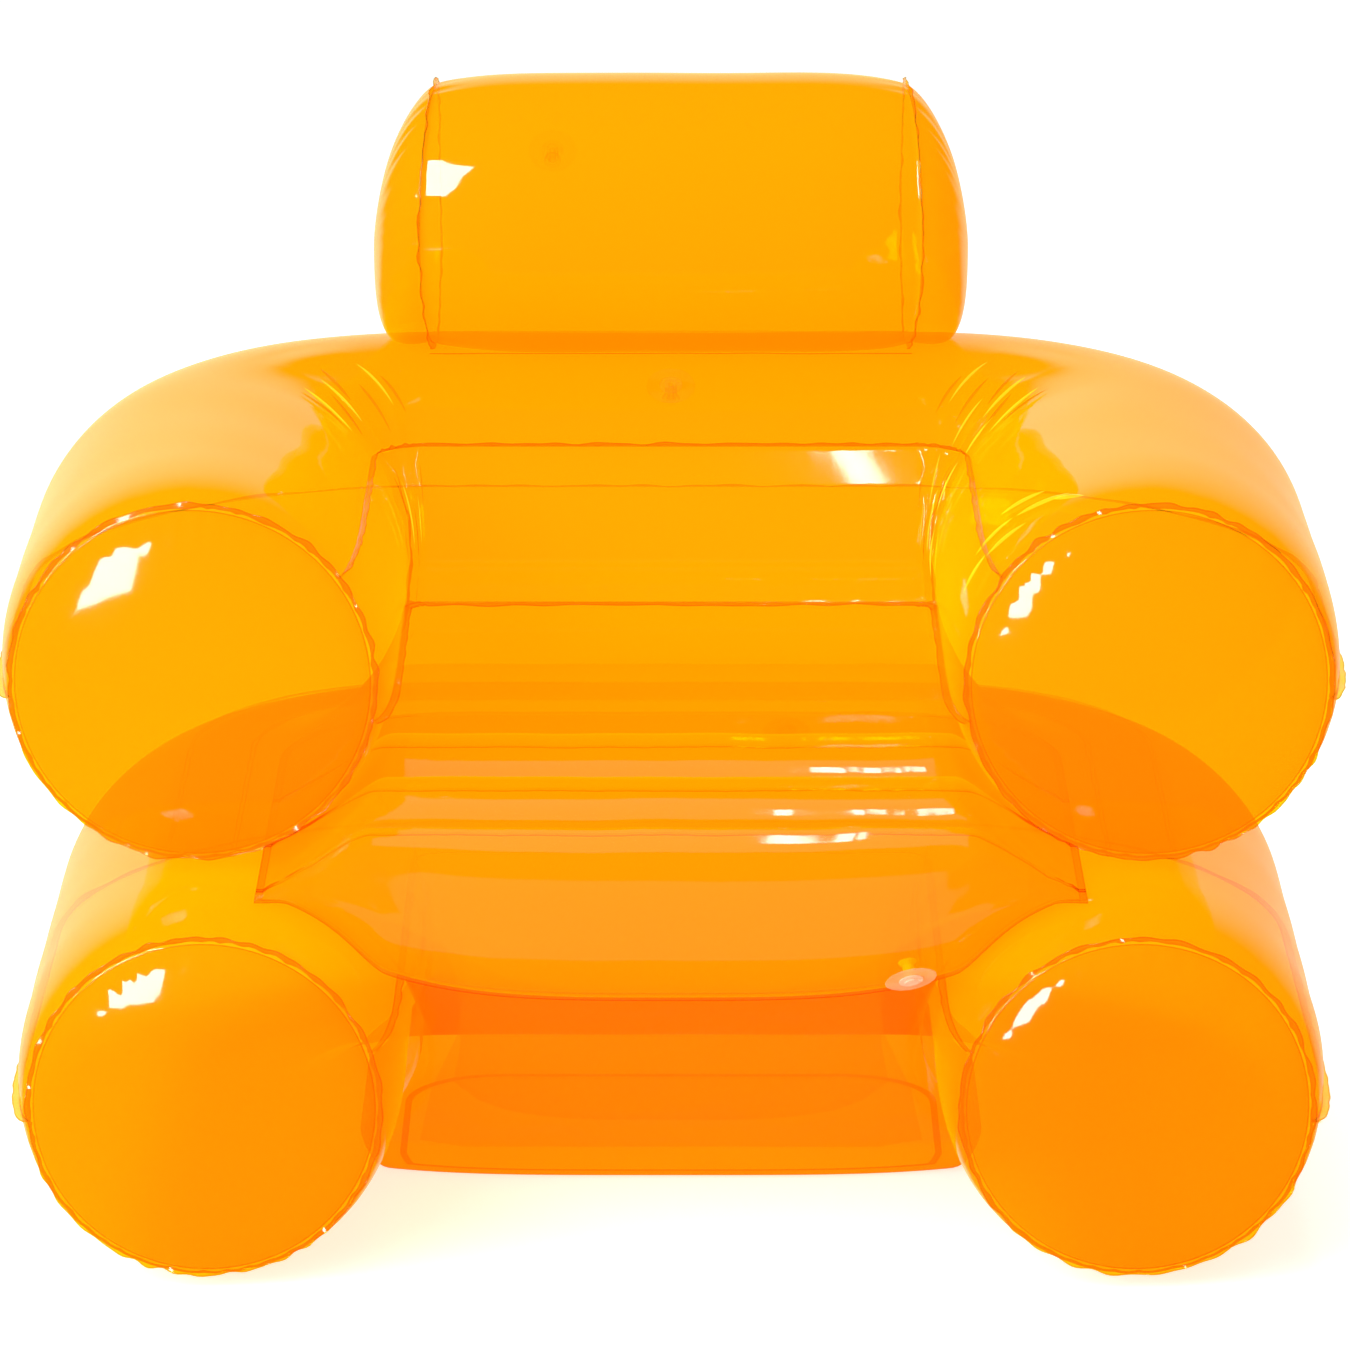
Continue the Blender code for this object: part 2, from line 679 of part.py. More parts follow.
def valve_frame(name, panel, origin, direction, group):
    """An empty over a panel's outer side, its Z pointing out, where the flange clears the film."""
    bpy.context.view_layer.update()
    graph = bpy.context.evaluated_depsgraph_get()
    film = panel.evaluated_get(graph)
    place, up = film_point(film, origin, direction)
    side = up.cross(Vector((1.0, 0.0, 0.0))).normalized()
    across = side.cross(up)
    rise = 0.0
    for x, y in arc((0.0, 0.0), FLANGE_RADIUS, 0.0, 360.0, RIM_STEPS)[1:]:
        over = place + across * x + side * y + up * FLANGE_RADIUS
        rim, out = film_point(film, over, -up)
        rise = max(rise, (rim - place).dot(up))
    frame = bpy.data.objects.new(name + "_frame", None)
    group.objects.link(frame)
    turn = Matrix((across, side, up)).transposed().to_4x4()
    frame.matrix_world = Matrix.Translation(place + up * (rise + WELD_GAP + FLANGE_THICK)) @ turn
    return frame


def cut_hole(panel, frame, cutters):
    bpy.ops.mesh.primitive_cylinder_add(vertices=VALVE_STEPS, radius=HOLE_RADIUS, depth=BAG_CORNER)
    cutter = bpy.context.object
    cutter.name = frame.name + "_hole"
    for group in list(cutter.users_collection):
        group.objects.unlink(cutter)
    cutters.objects.link(cutter)
    cutter.parent = frame
    cutter.hide_render = True
    cutter.display_type = "WIRE"
    hole = panel.modifiers.new(cutter.name, "BOOLEAN")
    hole.operation = "DIFFERENCE"
    hole.solver = "EXACT"
    hole.object = cutter


def hang(obj, frame, name, place, group):
    """Gives an object a parent empty that stands on its hinge."""
    pivot = bpy.data.objects.new(name, None)
    group.objects.link(pivot)
    pivot.parent = frame
    pivot.location = place
    obj.parent = pivot


def build_valve(name, panel, origin, direction, chair, cutters, mat):
    """Flange, push-in stem, plug on its strap and check flap, at rest pushed in as in the photo."""
    frame = valve_frame(name, panel, origin, direction, chair)
    cut_hole(panel, frame, cutters)
    bore = STEM_RADIUS + STEM_FIT
    rim = FLANGE_RADIUS - FLANGE_THICK
    ring = [(bore, 0.0), (rim, 0.0), (FLANGE_RADIUS, -FLANGE_THICK / 2), (rim, -FLANGE_THICK),
            (bore, -FLANGE_THICK)]
    flange = turned(name + "_flange", ring, VALVE_STEPS, chair, mat)
    flange.parent = frame
    top = WELD_GAP + COLLAR_THICK
    tube = [(STEM_BORE, top), (COLLAR_RADIUS, top), (COLLAR_RADIUS, WELD_GAP), (STEM_RADIUS, WELD_GAP),
            (STEM_RADIUS, SHOULDER_HEIGHT - STEM_LENGTH), (SHOULDER_RADIUS, FLANGE_THICK - STEM_LENGTH),
            (SHOULDER_RADIUS, -STEM_LENGTH), (STEM_BORE, -STEM_LENGTH)]
    stem = turned(name + "_stem", tube, VALVE_STEPS, chair, mat)
    stem.parent = frame
    hinge_z = top + WELD_GAP + STRAP_THICK / 2
    low = -STRAP_THICK / 2
    cap = [(0.0, PLUG_HEAD_THICK + low), (PLUG_HEAD_RADIUS, PLUG_HEAD_THICK + low), (PLUG_HEAD_RADIUS, low),
           (PLUG_STUB_RADIUS, low), (PLUG_STUB_TIP, low - PLUG_STUB_LENGTH), (0.0, low - PLUG_STUB_LENGTH)]
    plug = turned(name + "_plug", cap, VALVE_STEPS, chair, mat, closed=False)
    hang(plug, frame, name + "_plug_pivot", Vector((STRAP_REACH, 0.0, hinge_z)), chair)
    plug.location.x = -STRAP_REACH
    bpy.ops.mesh.primitive_cube_add(size=1.0)
    strap = bpy.context.object
    strap.name = name + "_strap"
    for group in list(strap.users_collection):
        group.objects.unlink(strap)
    cutters.objects.link(strap)
    strap.parent = frame
    strap.hide_render = True
    strap.display_type = "WIRE"
    strap.location = (STRAP_REACH / 2 + PLUG_HEAD_RADIUS / 4, 0.0, hinge_z)
    strap.scale = (STRAP_REACH - PLUG_HEAD_RADIUS / 2, STRAP_WIDTH, STRAP_THICK)
    joined = plug.modifiers.new("strap", "BOOLEAN")
    joined.operation = "UNION"
    joined.solver = "EXACT"
    joined.object = strap
    disc = [(0.0, 0.0), (FLAP_RADIUS, 0.0), (FLAP_RADIUS, -FLAP_THICK), (0.0, -FLAP_THICK)]
    flap = turned(name + "_flap", disc, VALVE_STEPS, chair, mat, closed=False)
    hinge = Vector((FLAP_RADIUS, 0.0, -STEM_LENGTH - WELD_GAP))
    hang(flap, frame, name + "_flap_pivot", hinge, chair)
    flap.location.x = -FLAP_RADIUS


def valve_places():
    """Each valve's name, panel, a point outside the film and the direction into it."""
    seat_side = SEAT_HALF_WIDTH * SEAT_VALVE_SHARE
    seat_deg = math.radians(SEAT_VALVE_DEG)
    seat_in = Vector((0.0, math.cos(seat_deg), math.sin(seat_deg)))
    seat_from = Vector((seat_side, ROLL_Y, ROLL_Z)) - seat_in * ROLL_RADIUS * 2
    places = [("seat_valve", "seat_top_panel", seat_from, seat_in)]
    for name, panel, x, degrees, centre_z, radius in (
            ("back_valve", "arm_top_panel", 0.0, BACK_VALVE_DEG, ARM_Z, ARM_RADIUS),
            ("base_valve", "base_top_panel", HEAD_HALF_LENGTH / 2, BASE_VALVE_DEG, BASE_Z, BASE_RADIUS),
            ("headrest_valve", "headrest_sleeve", -HEAD_HALF_LENGTH / 2, HEAD_VALVE_DEG, HEAD_Z, HEAD_RADIUS)):
        turn = math.radians(degrees)
        out = Vector((0.0, -math.cos(turn), math.sin(turn)))
        places.append((name, panel, Vector((x, BACK_LINE, centre_z)) + out * radius * 2, -out))
    return places


def main():
    clear_scene()
    chair = collection("inflatable_chair")
    cutters = collection("cutters")
    film = material("amber_film", (1.0, 0.47, 0.02), 0.12, 0.5)
    clear = material("clear_vinyl", (0.93, 0.90, 0.84), 0.2, 0.6)
    build_base_tube(chair, film)
    build_arm_tube(chair, film)
    build_headrest(chair, film)
    build_seat_top(chair, film)
    ring = build_seat_wall(chair, film)
    build_seat_bottom(ring, chair, film)
    build_baffles(chair, film)
    for name, panel, origin, direction in valve_places():
        build_valve(name, bpy.data.objects[panel], origin, direction, chair, cutters, clear)
    bpy.context.view_layer.update()


main()
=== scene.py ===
import json
import math

import bpy
import numpy as np
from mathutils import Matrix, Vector

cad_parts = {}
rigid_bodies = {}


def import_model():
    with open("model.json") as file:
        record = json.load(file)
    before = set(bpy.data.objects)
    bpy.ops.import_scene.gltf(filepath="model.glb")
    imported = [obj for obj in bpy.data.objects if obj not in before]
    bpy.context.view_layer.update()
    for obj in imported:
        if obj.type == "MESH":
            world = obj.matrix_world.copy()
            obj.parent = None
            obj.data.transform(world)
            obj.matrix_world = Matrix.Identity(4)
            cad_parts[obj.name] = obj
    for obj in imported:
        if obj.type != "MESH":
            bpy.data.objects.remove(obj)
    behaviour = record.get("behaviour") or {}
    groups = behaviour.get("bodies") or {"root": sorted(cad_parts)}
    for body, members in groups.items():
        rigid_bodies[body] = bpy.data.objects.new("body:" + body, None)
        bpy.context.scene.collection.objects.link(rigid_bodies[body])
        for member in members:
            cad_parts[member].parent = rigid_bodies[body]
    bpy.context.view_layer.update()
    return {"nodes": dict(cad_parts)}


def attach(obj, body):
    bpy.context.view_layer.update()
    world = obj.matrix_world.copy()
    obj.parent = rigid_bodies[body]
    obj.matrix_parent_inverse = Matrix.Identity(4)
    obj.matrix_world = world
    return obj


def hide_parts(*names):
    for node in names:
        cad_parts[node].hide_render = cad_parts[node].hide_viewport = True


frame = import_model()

# Inflatable armchair of clear amber film, in metres. +X is the sitter's left, and it faces -Y.
# Each film panel of the frame but the seat's baffles is replaced by a finer sheet with its puckers, creases
# and wavy lips; the baffles and the valves only get new materials.

# Film and welds
FILM = 0.0004
WELD_GAP = 0.0003
LIP = 0.006
PITCH = FILM + WELD_GAP

# Base tube
BASE_HALF_SPAN = 0.393
BASE_RADIUS = 0.165
BASE_END_RADIUS = 0.144
BASE_FRONT = -0.431
BASE_INNER_SEAM_DEG = 19.0

# Arm tube
ARM_HALF_SPAN = 0.406
ARM_RADIUS = 0.170
ARM_END_RADIUS = 0.151
ARM_FRONT = -0.289
ARM_UPPER_SEAM_DEG = 36.0
ARM_LOWER_SEAM_DEG = -13.0

# Shared by both tubes
BACK_LINE = 0.284
CORNER_RADIUS = 0.186
CONTACT_HALF = 0.0265
TAPER_LENGTH = 0.130
DISC_BULGE = 0.028
OUTER_SEAM_DEG = 185.0

# Headrest roll
HEAD_RADIUS = 0.1285
HEAD_END_RADIUS = 0.1180
HEAD_HALF_LENGTH = 0.220
HEAD_CAP_BULGE = 0.050
HEAD_SEAT_HALF = 0.045
HEAD_CAP_SINK = 0.028
HEAD_RING_BOW = 0.012
HEAD_CAP_REST = 0.1125

# Seat bag
SEAT_HALF_WIDTH = 0.346
SEAT_CORNER_Y = -0.361
SEAT_REAR_Y = 0.214
SEAT_REAR_CORNER = 0.150
SEAT_CREST = 0.400
SEAT_VALLEY = 0.374
SEAT_SEAM_Y = (-0.338, -0.206, -0.071)
SEAT_FALL_Y = 0.099
ROLL_Y = -0.339
ROLL_Z = 0.312
ROLL_RADIUS = 0.078
CREASE_Y = -0.333
CREASE_Z = 0.232
CREASE_LIP_DEG = 53.0
BAG_TOE_Y = -0.126
BAG_FOOT_DEG = 138.0
BAG_CORNER = 0.028
BAG_SIDE_SETBACK = 0.060
BAG_CLEAR = 0.0095
FLOOR_CLEAR = 0.0008
PINCH_SHARE = 0.96
PINCH_POWER = 3.5

# Heights that follow from the tubes resting on each other
BASE_FLAT = math.sqrt(BASE_RADIUS ** 2 - CONTACT_HALF ** 2)
ARM_FLAT = math.sqrt(ARM_RADIUS ** 2 - CONTACT_HALF ** 2)
BASE_Z = BASE_FLAT + FILM / 2
JOIN_Z = BASE_Z + BASE_FLAT + PITCH / 2
ARM_Z = JOIN_Z + PITCH / 2 + ARM_FLAT
HEAD_DROP = math.sqrt(HEAD_RADIUS ** 2 - HEAD_SEAT_HALF ** 2)
HEAD_FLAT = math.sqrt(ARM_RADIUS ** 2 - HEAD_SEAT_HALF ** 2)
HEAD_Z = ARM_Z + HEAD_FLAT + PITCH + HEAD_DROP
REST_REACH = BASE_HALF_SPAN - SEAT_HALF_WIDTH - LIP
SEAT_SEAM_Z = BASE_Z + math.sqrt(BASE_RADIUS ** 2 - REST_REACH ** 2) + FILM + WELD_GAP + PITCH / 2

# Fineness of the sheets, and the radii of the cords that draw the welds and cut edges
STEP = 0.0055
BEAD = 0.0006
STRIP_BEAD = 0.0005
SEAT_BEAD = 0.0007

# Relief of the film: how high its gathers, folds and soft waves stand
TUBE_UNEVEN = 0.0003
SEAM_GATHER = 0.0004
RING_GATHER = 0.0013
DISC_GATHER = 0.0012
CORNER_FOLD = 0.0075
CORNER_RIPPLE = 0.0024
HEAD_UNEVEN = 0.0007
HEAD_GATHER = 0.0013
CAP_GATHER = 0.0016
CAP_UNEVEN = 0.0010
HEAD_LIP_WAVE = 0.0012
SEAT_UNEVEN = 0.0004
SEAT_SEAM_GATHER = 0.0003
SEAT_RIM_GATHER = 0.0022
SEAT_CORNER_FOLD = 0.0026
SEAT_CORNER_REACH = 0.11
WALL_UNEVEN = 0.0016
WALL_GATHER = 0.0020
BOTTOM_UNEVEN = 0.0012
SEAT_WELD_HALF = 0.0028
SEAT_WELD_RISE = 0.0009

# Columns of the seat bag's outline along its front, side, rear corner and rear, and rows of its roll
FRONT_COLUMNS = 96
SIDE_COLUMNS = 60
CORNER_COLUMNS = 24
REAR_COLUMNS = 60
ROLL_ROWS = 46


# Helpers

def waves(along, across, seed, length, count=7):
    """Soft uneven ripples between about -1 and 1: a few sine waves of near lengths and seeded ways."""
    rng = np.random.default_rng(seed)
    total = np.zeros(np.broadcast(along, across).shape)
    for _ in range(count):
        way = rng.uniform(0.0, 2.0 * math.pi)
        size = length * rng.uniform(0.7, 1.5)
        start = rng.uniform(0.0, 2.0 * math.pi)
        run = along * math.cos(way) + across * math.sin(way)
        total += np.sin(2.0 * math.pi * run / size + start)
    return total / math.sqrt(count)


def puckers(along, seed, length):
    """Uneven gathers along a weld: rounded ridges between narrow valleys, from -1 to 1."""
    bend = 0.35 * waves(along, 0.0, seed, length * 4.0)
    phase = along / length + bend
    ridge = np.abs(np.sin(math.pi * phase))
    size = 0.7 + 0.3 * waves(along, 0.0, seed + 1, length * 6.0)
    return (2.0 * ridge ** 0.7 - 1.2) * size


def near(distance, reach):
    """1 on a weld, falling smoothly to 0 away from it."""
    return np.exp(-(np.abs(distance) / reach) ** 1.3)


def add_piece(name, points, faces, *surfaces):
    """A smooth piece of film that stays with the chair's body."""
    mesh = bpy.data.meshes.new(name)
    mesh.from_pydata(points, [], faces)
    for surface in surfaces:
        mesh.materials.append(surface)
    mesh.shade_smooth()
    piece = bpy.data.objects.new(name, mesh)
    bpy.context.scene.collection.objects.link(piece)
    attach(piece, "chair")
    return piece


def grid_piece(node, points, surface, lips=(0, 0, 0, 0), closed=False, pole=False):
    """A smooth sheet through a rows x columns x 3 array, standing for a node of the frame.

    lips counts the rows at the start and end and the columns at the start and end that are weld lips.
    A closed sheet runs round, and one with a pole is closed at its last row by a point in the middle.
    """
    rows, columns, _ = points.shape
    faces = []
    on_lip = []
    around = columns if closed else columns - 1
    for row in range(rows - 1):
        for column in range(around):
            after = (column + 1) % columns
            low = row * columns
            high = low + columns
            faces.append((low + column, low + after, high + after, high + column))
            in_rows = row < lips[0] or row >= rows - 1 - lips[1]
            in_columns = column < lips[2] or (lips[3] and column >= around - lips[3])
            on_lip.append(1 if in_rows or in_columns else 0)
    corners = points.reshape(-1, 3).tolist()
    if pole:
        low = (rows - 1) * columns
        corners.append(points[-1].mean(axis=0).tolist())
        for column in range(columns):
            faces.append((low + column, low + (column + 1) % columns, rows * columns))
            on_lip.append(0)
    surfaces = (surface, lip_film) if any(lips) else (surface,)
    piece = add_piece(node + "_film", corners, faces, *surfaces)
    piece.data.polygons.foreach_set("material_index", on_lip)
    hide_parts(node)
    return piece


# A way that no cord runs along
BEAD_UP = np.array([0.13, 0.21, 0.97])


def bead_mesh(lines, radius, sides=6):
    """Thin round cords along lines of points: welds and cut edges. A closed line ends where it starts."""
    points = []
    faces = []
    for line in lines:
        line = np.asarray(line)
        closed = np.linalg.norm(line[0] - line[-1]) < 1e-6
        if closed:
            line = line[:-1]
            way = np.roll(line, -1, axis=0) - np.roll(line, 1, axis=0)
        else:
            way = np.gradient(line, axis=0)
        way /= np.linalg.norm(way, axis=1)[:, None]
        side = np.cross(way, BEAD_UP)
        side /= np.maximum(np.linalg.norm(side, axis=1)[:, None], 1e-6)
        up = np.cross(side, way)
        first = len(points)
        for index in range(len(line)):
            for step in range(sides):
                turn = 2.0 * math.pi * step / sides
                off = math.cos(turn) * side[index] + math.sin(turn) * up[index]
                points.append(line[index] + radius * off)
        count = len(line)
        for index in range(count if closed else count - 1):
            low = first + index * sides
            high = first + (index + 1) % count * sides
            for step in range(sides):
                after = (step + 1) % sides
                faces.append((low + step, low + after, high + after, high + step))
    return points, faces


def bead_piece(name, lines, radius, surface=None):
    points, faces = bead_mesh(lines, radius)
    add_piece(name, [tuple(point) for point in points], faces, surface or weld)


def even(start, end, step):
    """Evenly spaced values about a step apart, both ends included."""
    count = max(2, int(round(abs(end - start) / step)) + 1)
    return np.linspace(start, end, count)


def smooth_min(a, b, blend):
    mix = np.clip(0.5 + 0.5 * (b - a) / blend, 0.0, 1.0)
    return b + (a - b) * mix - blend * mix * (1.0 - mix)


def smooth_max(a, b, blend):
    return -smooth_min(-a, -b, blend)


# Materials

# Tint, glow and haze of each film: what it lets through, the painted light it gives off as an even glow
# though it is no lamp, and what it scatters
TUBE_FILM = ((1.0, 0.41, 0.006), (0.085, 0.070, 0.0), (0.14, 0.059, 0.0))
TOP_FILM = ((1.0, 0.60, 0.008), (0.085, 0.094, 0.0), (0.14, 0.057, 0.0))
WALL_FILM = ((1.0, 0.50, 0.006), (0.085, 0.040, 0.0), (0.10, 0.042, 0.0))
BAFFLE_FILM = ((1.0, 0.86, 0.40), (0.02, 0.040, 0.0), (0.02, 0.008, 0.0))
# The fold film's strong glow is painted light: it paints bright glints on the folds
GLINT_FOLD_FILM = ((1.0, 0.80, 0.16), (0.10, 0.260, 0.012), (0.20, 0.084, 0.0))
LIP_FILM = ((1.0, 0.70, 0.05), (0.03, 0.030, 0.0), (0.03, 0.013, 0.0))
WELD_FILM = ((0.72, 0.76, 0.10), (0.0, 0.0, 0.0), (0.02, 0.010, 0.0))
SEAT_WELD_FILM = ((0.64, 0.60, 0.10), (0.0, 0.0, 0.0), (0.01, 0.005, 0.0))
# The end discs take less of the painted glow than the tubes, the base's discs least, so they look darker:
# painted shade
BASE_DISC_FILM = ((1.0, 0.39, 0.006), (0.085, 0.025, 0.0), (0.14, 0.057, 0.0))
ARM_DISC_FILM = ((1.0, 0.41, 0.006), (0.085, 0.042, 0.0), (0.14, 0.057, 0.0))


# Gloss of the film: how much it gains where it is looked along, and how steeply
EDGE_GLOSS = 0.46
EDGE_POWER = 4.6
FACE_GLOSS = 0.045
BLOOM_RED = 0.10
WHITE = (1.0, 1.0, 1.0, 1.0)


def shader_tree(name):
    mat = bpy.data.materials.new(name)
    mat.use_nodes = True
    tree = mat.node_tree
    tree.nodes.clear()
    return mat, tree


def add_node(tree, kind, inputs=(), **settings):
    """A new shader node, with values for its inputs by name or number."""
    node = tree.nodes.new("ShaderNode" + kind)
    for setting, value in settings.items():
        setattr(node, setting, value)
    for key, value in dict(inputs).items():
        node.inputs[key].default_value = value
    return node


def map_range(tree, from_min, from_max, to_min, to_max, **settings):
    inputs = {"From Min": from_min, "From Max": from_max, "To Min": to_min, "To Max": to_max}
    return add_node(tree, "MapRange", inputs, **settings)


def film_material(name, look, roughness, ripple, gloss_share=FACE_GLOSS, sheen=0.0):
    """Clear film: it tints what is behind it, and reflects more the flatter it is looked along. It also
    gives off an even painted glow, painted light that stands in for light carried through the film.
    """
    tint, painted_glow_colour, haze_colour = look
    mat, tree = shader_tree(name)
    link = tree.links.new
    out = add_node(tree, "OutputMaterial")
    mix = add_node(tree, "MixShader")
    clear = add_node(tree, "BsdfTransparent", {"Color": (*tint, 1.0)})
    gloss = add_node(tree, "BsdfGlossy", {"Color": WHITE, "Roughness": roughness})
    facing = add_node(tree, "LayerWeight", {"Blend": 0.5})
    power = add_node(tree, "Math", {1: EDGE_POWER}, operation="POWER")
    scale = add_node(tree, "Math", {1: EDGE_GLOSS, 2: gloss_share}, operation="MULTIPLY_ADD", use_clamp=True)
    link(facing.outputs["Facing"], power.inputs[0])
    link(power.outputs[0], scale.inputs[0])
    link(scale.outputs[0], mix.inputs["Fac"])
    link(clear.outputs[0], mix.inputs[1])
    link(gloss.outputs[0], mix.inputs[2])
    whole = mix
    # The emission is painted light: an even glow of the film, though it is no lamp
    for layer in (add_node(tree, "Emission", {"Color": (*painted_glow_colour, 1.0)}),
                  add_node(tree, "BsdfDiffuse", {"Color": (*haze_colour, 1.0)}),
                  add_node(tree, "BsdfSheen", {"Color": (BLOOM_RED, sheen, 0.0, 1.0), "Roughness": 0.4})):
        both = add_node(tree, "AddShader")
        link(whole.outputs[0], both.inputs[0])
        link(layer.outputs[0], both.inputs[1])
        whole = both
    link(whole.outputs[0], out.inputs["Surface"])
    where = add_node(tree, "TexCoord")
    broad = add_node(tree, "TexNoise", {"Scale": 9.0, "Detail": 2.0})
    bump = add_node(tree, "Bump", {"Strength": ripple, "Distance": 0.01})
    link(where.outputs["Object"], broad.inputs["Vector"])
    link(broad.outputs["Fac"], bump.inputs["Height"])
    link(bump.outputs["Normal"], gloss.inputs["Normal"])
    return mat


def vinyl_material(name, tint, least, most):
    """Clear soft moulded vinyl of the valves, slightly milky where it is looked along."""
    mat, tree = shader_tree(name)
    link = tree.links.new
    out = add_node(tree, "OutputMaterial")
    shader = add_node(tree, "BsdfPrincipled", {"Base Color": (*tint, 1.0), "Roughness": 0.18})
    facing = add_node(tree, "LayerWeight", {"Blend": 0.35})
    milk = map_range(tree, 0.15, 0.75, least, most)
    link(facing.outputs["Facing"], milk.inputs["Value"])
    link(milk.outputs["Result"], shader.inputs["Alpha"])
    grain = add_node(tree, "TexNoise", {"Scale": 220.0})
    bump = add_node(tree, "Bump", {"Strength": 0.08, "Distance": 0.001})
    link(grain.outputs["Fac"], bump.inputs["Height"])
    link(bump.outputs["Normal"], shader.inputs["Normal"])
    link(shader.outputs[0], out.inputs["Surface"])
    return mat


film = film_material("amber_film", TUBE_FILM, 0.045, 0.012, sheen=0.15)
top_film = film_material("amber_seat_film", TOP_FILM, 0.06, 0.02)
wall_film = film_material("amber_wall_film", WALL_FILM, 0.20, 0.10)
baffle_film = film_material("amber_baffle_film", BAFFLE_FILM, 0.20, 0.10)
glint_fold_film = film_material("amber_fold_glint", GLINT_FOLD_FILM, 0.16, 0.30)
lip_film = film_material("amber_lip", LIP_FILM, 0.10, 0.05)
weld = film_material("amber_weld", WELD_FILM, 0.14, 0.4)
seat_weld = film_material("amber_seat_weld", SEAT_WELD_FILM, 0.20, 0.4, gloss_share=0.0)
base_disc_film = film_material("amber_base_disc_film", BASE_DISC_FILM, 0.06, 0.012, sheen=0.10)
arm_disc_film = film_material("amber_arm_disc_film", ARM_DISC_FILM, 0.06, 0.012, sheen=0.10)
vinyl = vinyl_material("clear_vinyl", (1.0, 0.82, 0.60), 0.40, 0.85)
rim_vinyl = vinyl_material("clear_rim_vinyl", (1.0, 0.72, 0.38), 0.10, 0.70)
amber_vinyl = vinyl_material("amber_vinyl", (1.0, 0.42, 0.02), 0.04, 0.45)


# Tubes

# How far the rows of a lip stand out, as shares of its width, from its cut edge to its weld
LIP_ROWS = (1.0, 0.66, 0.33)
STRIP_DOUBLE = 0.0035

# Folds in a tube's corners: share of the bend, section angle, way on the tube and length
ARM_FOLDS = (
    (0.10, 58.0, 66.0, 0.055), (0.28, 50.0, 58.0, 0.060), (0.45, 62.0, 78.0, 0.050),
    (0.60, 52.0, 100.0, 0.060), (0.78, 56.0, 118.0, 0.055), (0.35, 22.0, 96.0, 0.040),
    (0.66, 8.0, 84.0, 0.045), (0.90, 24.0, 98.0, 0.040))
BASE_FOLDS = ((0.2, 40.0, 70.0, 0.05), (0.5, 2.0, 88.0, 0.05), (0.7, -20.0, 96.0, 0.045))
# The bright folds are painted glints: leaves of a film with a strong painted glow
BRIGHT_GLINT_FOLDS = (
    (0.16, 54.0, 62.0, 0.070), (0.24, 44.0, 72.0, 0.050), (0.38, 57.0, 84.0, 0.060),
    (0.52, 47.0, 96.0, 0.055), (0.70, 60.0, 112.0, 0.065), (0.30, 26.0, 100.0, 0.050),
    (0.50, 14.0, 92.0, 0.060), (0.64, 24.0, 80.0, 0.050), (0.80, 12.0, 96.0, 0.045),
    (0.20, 4.0, 84.0, 0.045))
# Bright folds at the left arm's front end, painted glints like the bright corner folds: distance from it,
# section angle, way, length and width
END_FOLDS = (
    (0.030, 44.0, 70.0, 0.050, 0.009), (0.050, 58.0, 60.0, 0.060, 0.010),
    (0.026, 66.0, 40.0, 0.040, 0.008), (0.075, 40.0, 74.0, 0.050, 0.007),
    (0.042, 30.0, 96.0, 0.040, 0.008), (0.095, 52.0, 58.0, 0.055, 0.008))


def tube_path(half_span, front):
    """Points along a U tube's centre line: x, y, the way inwards, and the distance from the front."""
    straight = BACK_LINE - CORNER_RADIUS - front
    bend = CORNER_RADIUS * math.pi / 2.0
    rear = half_span - CORNER_RADIUS
    half = straight + bend + rear
    marks = np.concatenate([(PITCH / 2, PITCH), even(0.002, straight, STEP),
                            even(straight, straight + bend, STEP * 0.8)[1:],
                            even(straight + bend, half, STEP)[1:]])
    marks = np.concatenate([marks, 2.0 * half - marks[::-1][1:]])
    x = np.empty(len(marks))
    y = np.empty(len(marks))
    nx = np.empty(len(marks))
    ny = np.empty(len(marks))
    turned = np.zeros(len(marks))
    for index, mark in enumerate(marks):
        side = -1.0 if mark <= half else 1.0
        along = mark if mark <= half else 2.0 * half - mark
        if along <= straight:
            x[index], y[index] = side * half_span, front + along
            nx[index], ny[index] = -side, 0.0
        elif along <= straight + bend:
            angle = (along - straight) / CORNER_RADIUS
            turned[index] = angle
            x[index] = side * (half_span - CORNER_RADIUS + CORNER_RADIUS * math.cos(angle))
            y[index] = BACK_LINE - CORNER_RADIUS + CORNER_RADIUS * math.sin(angle)
            nx[index], ny[index] = -side * math.cos(angle), -math.sin(angle)
        else:
            turned[index] = math.pi / 2.0
            x[index], y[index] = side * (half - along), BACK_LINE
            nx[index], ny[index] = 0.0, -1.0
    end = np.minimum(marks, 2.0 * half - marks)
    return {"s": marks, "end": end, "x": x, "y": y, "nx": nx, "ny": ny, "turned": turned,
            "straight": straight, "bend": bend, "half": half}


def swell(distance):
    share = np.clip(distance / TAPER_LENGTH, 0.0, 1.0)
    return np.sqrt(1.0 - (1.0 - share) ** 2)


def seam_wave(path, mark):
    """How far a seam's lips lean to one side and reach out beyond the weld, along the tube."""
    seed = 70 + int(round(mark)) % 360
    lean = 0.0008 * waves(path["s"], 0.0, seed, 0.040)
    out = 0.0004 * waves(path["s"], 0.0, seed + 1, 0.030)
    return lean, out


def ring_wave(y, z, seed):
    """The same for the ring weld round an end, from the place on the ring."""
    return 0.0017 * waves(y, z, seed, 0.026), 0.0011 * waves(y, z, seed + 1, 0.021)


def tube_point(path, radius, height, at, angle):
    """A point on the round tube at a distance along it and a section angle."""
    x = np.interp(at, path["s"], path["x"])
    y = np.interp(at, path["s"], path["y"])
    nx = np.interp(at, path["s"], path["nx"])
    ny = np.interp(at, path["s"], path["ny"])
    flat = radius * np.cos(angle)
    return np.stack([x + nx * flat, y + ny * flat, height + radius * np.sin(angle)], axis=-1)


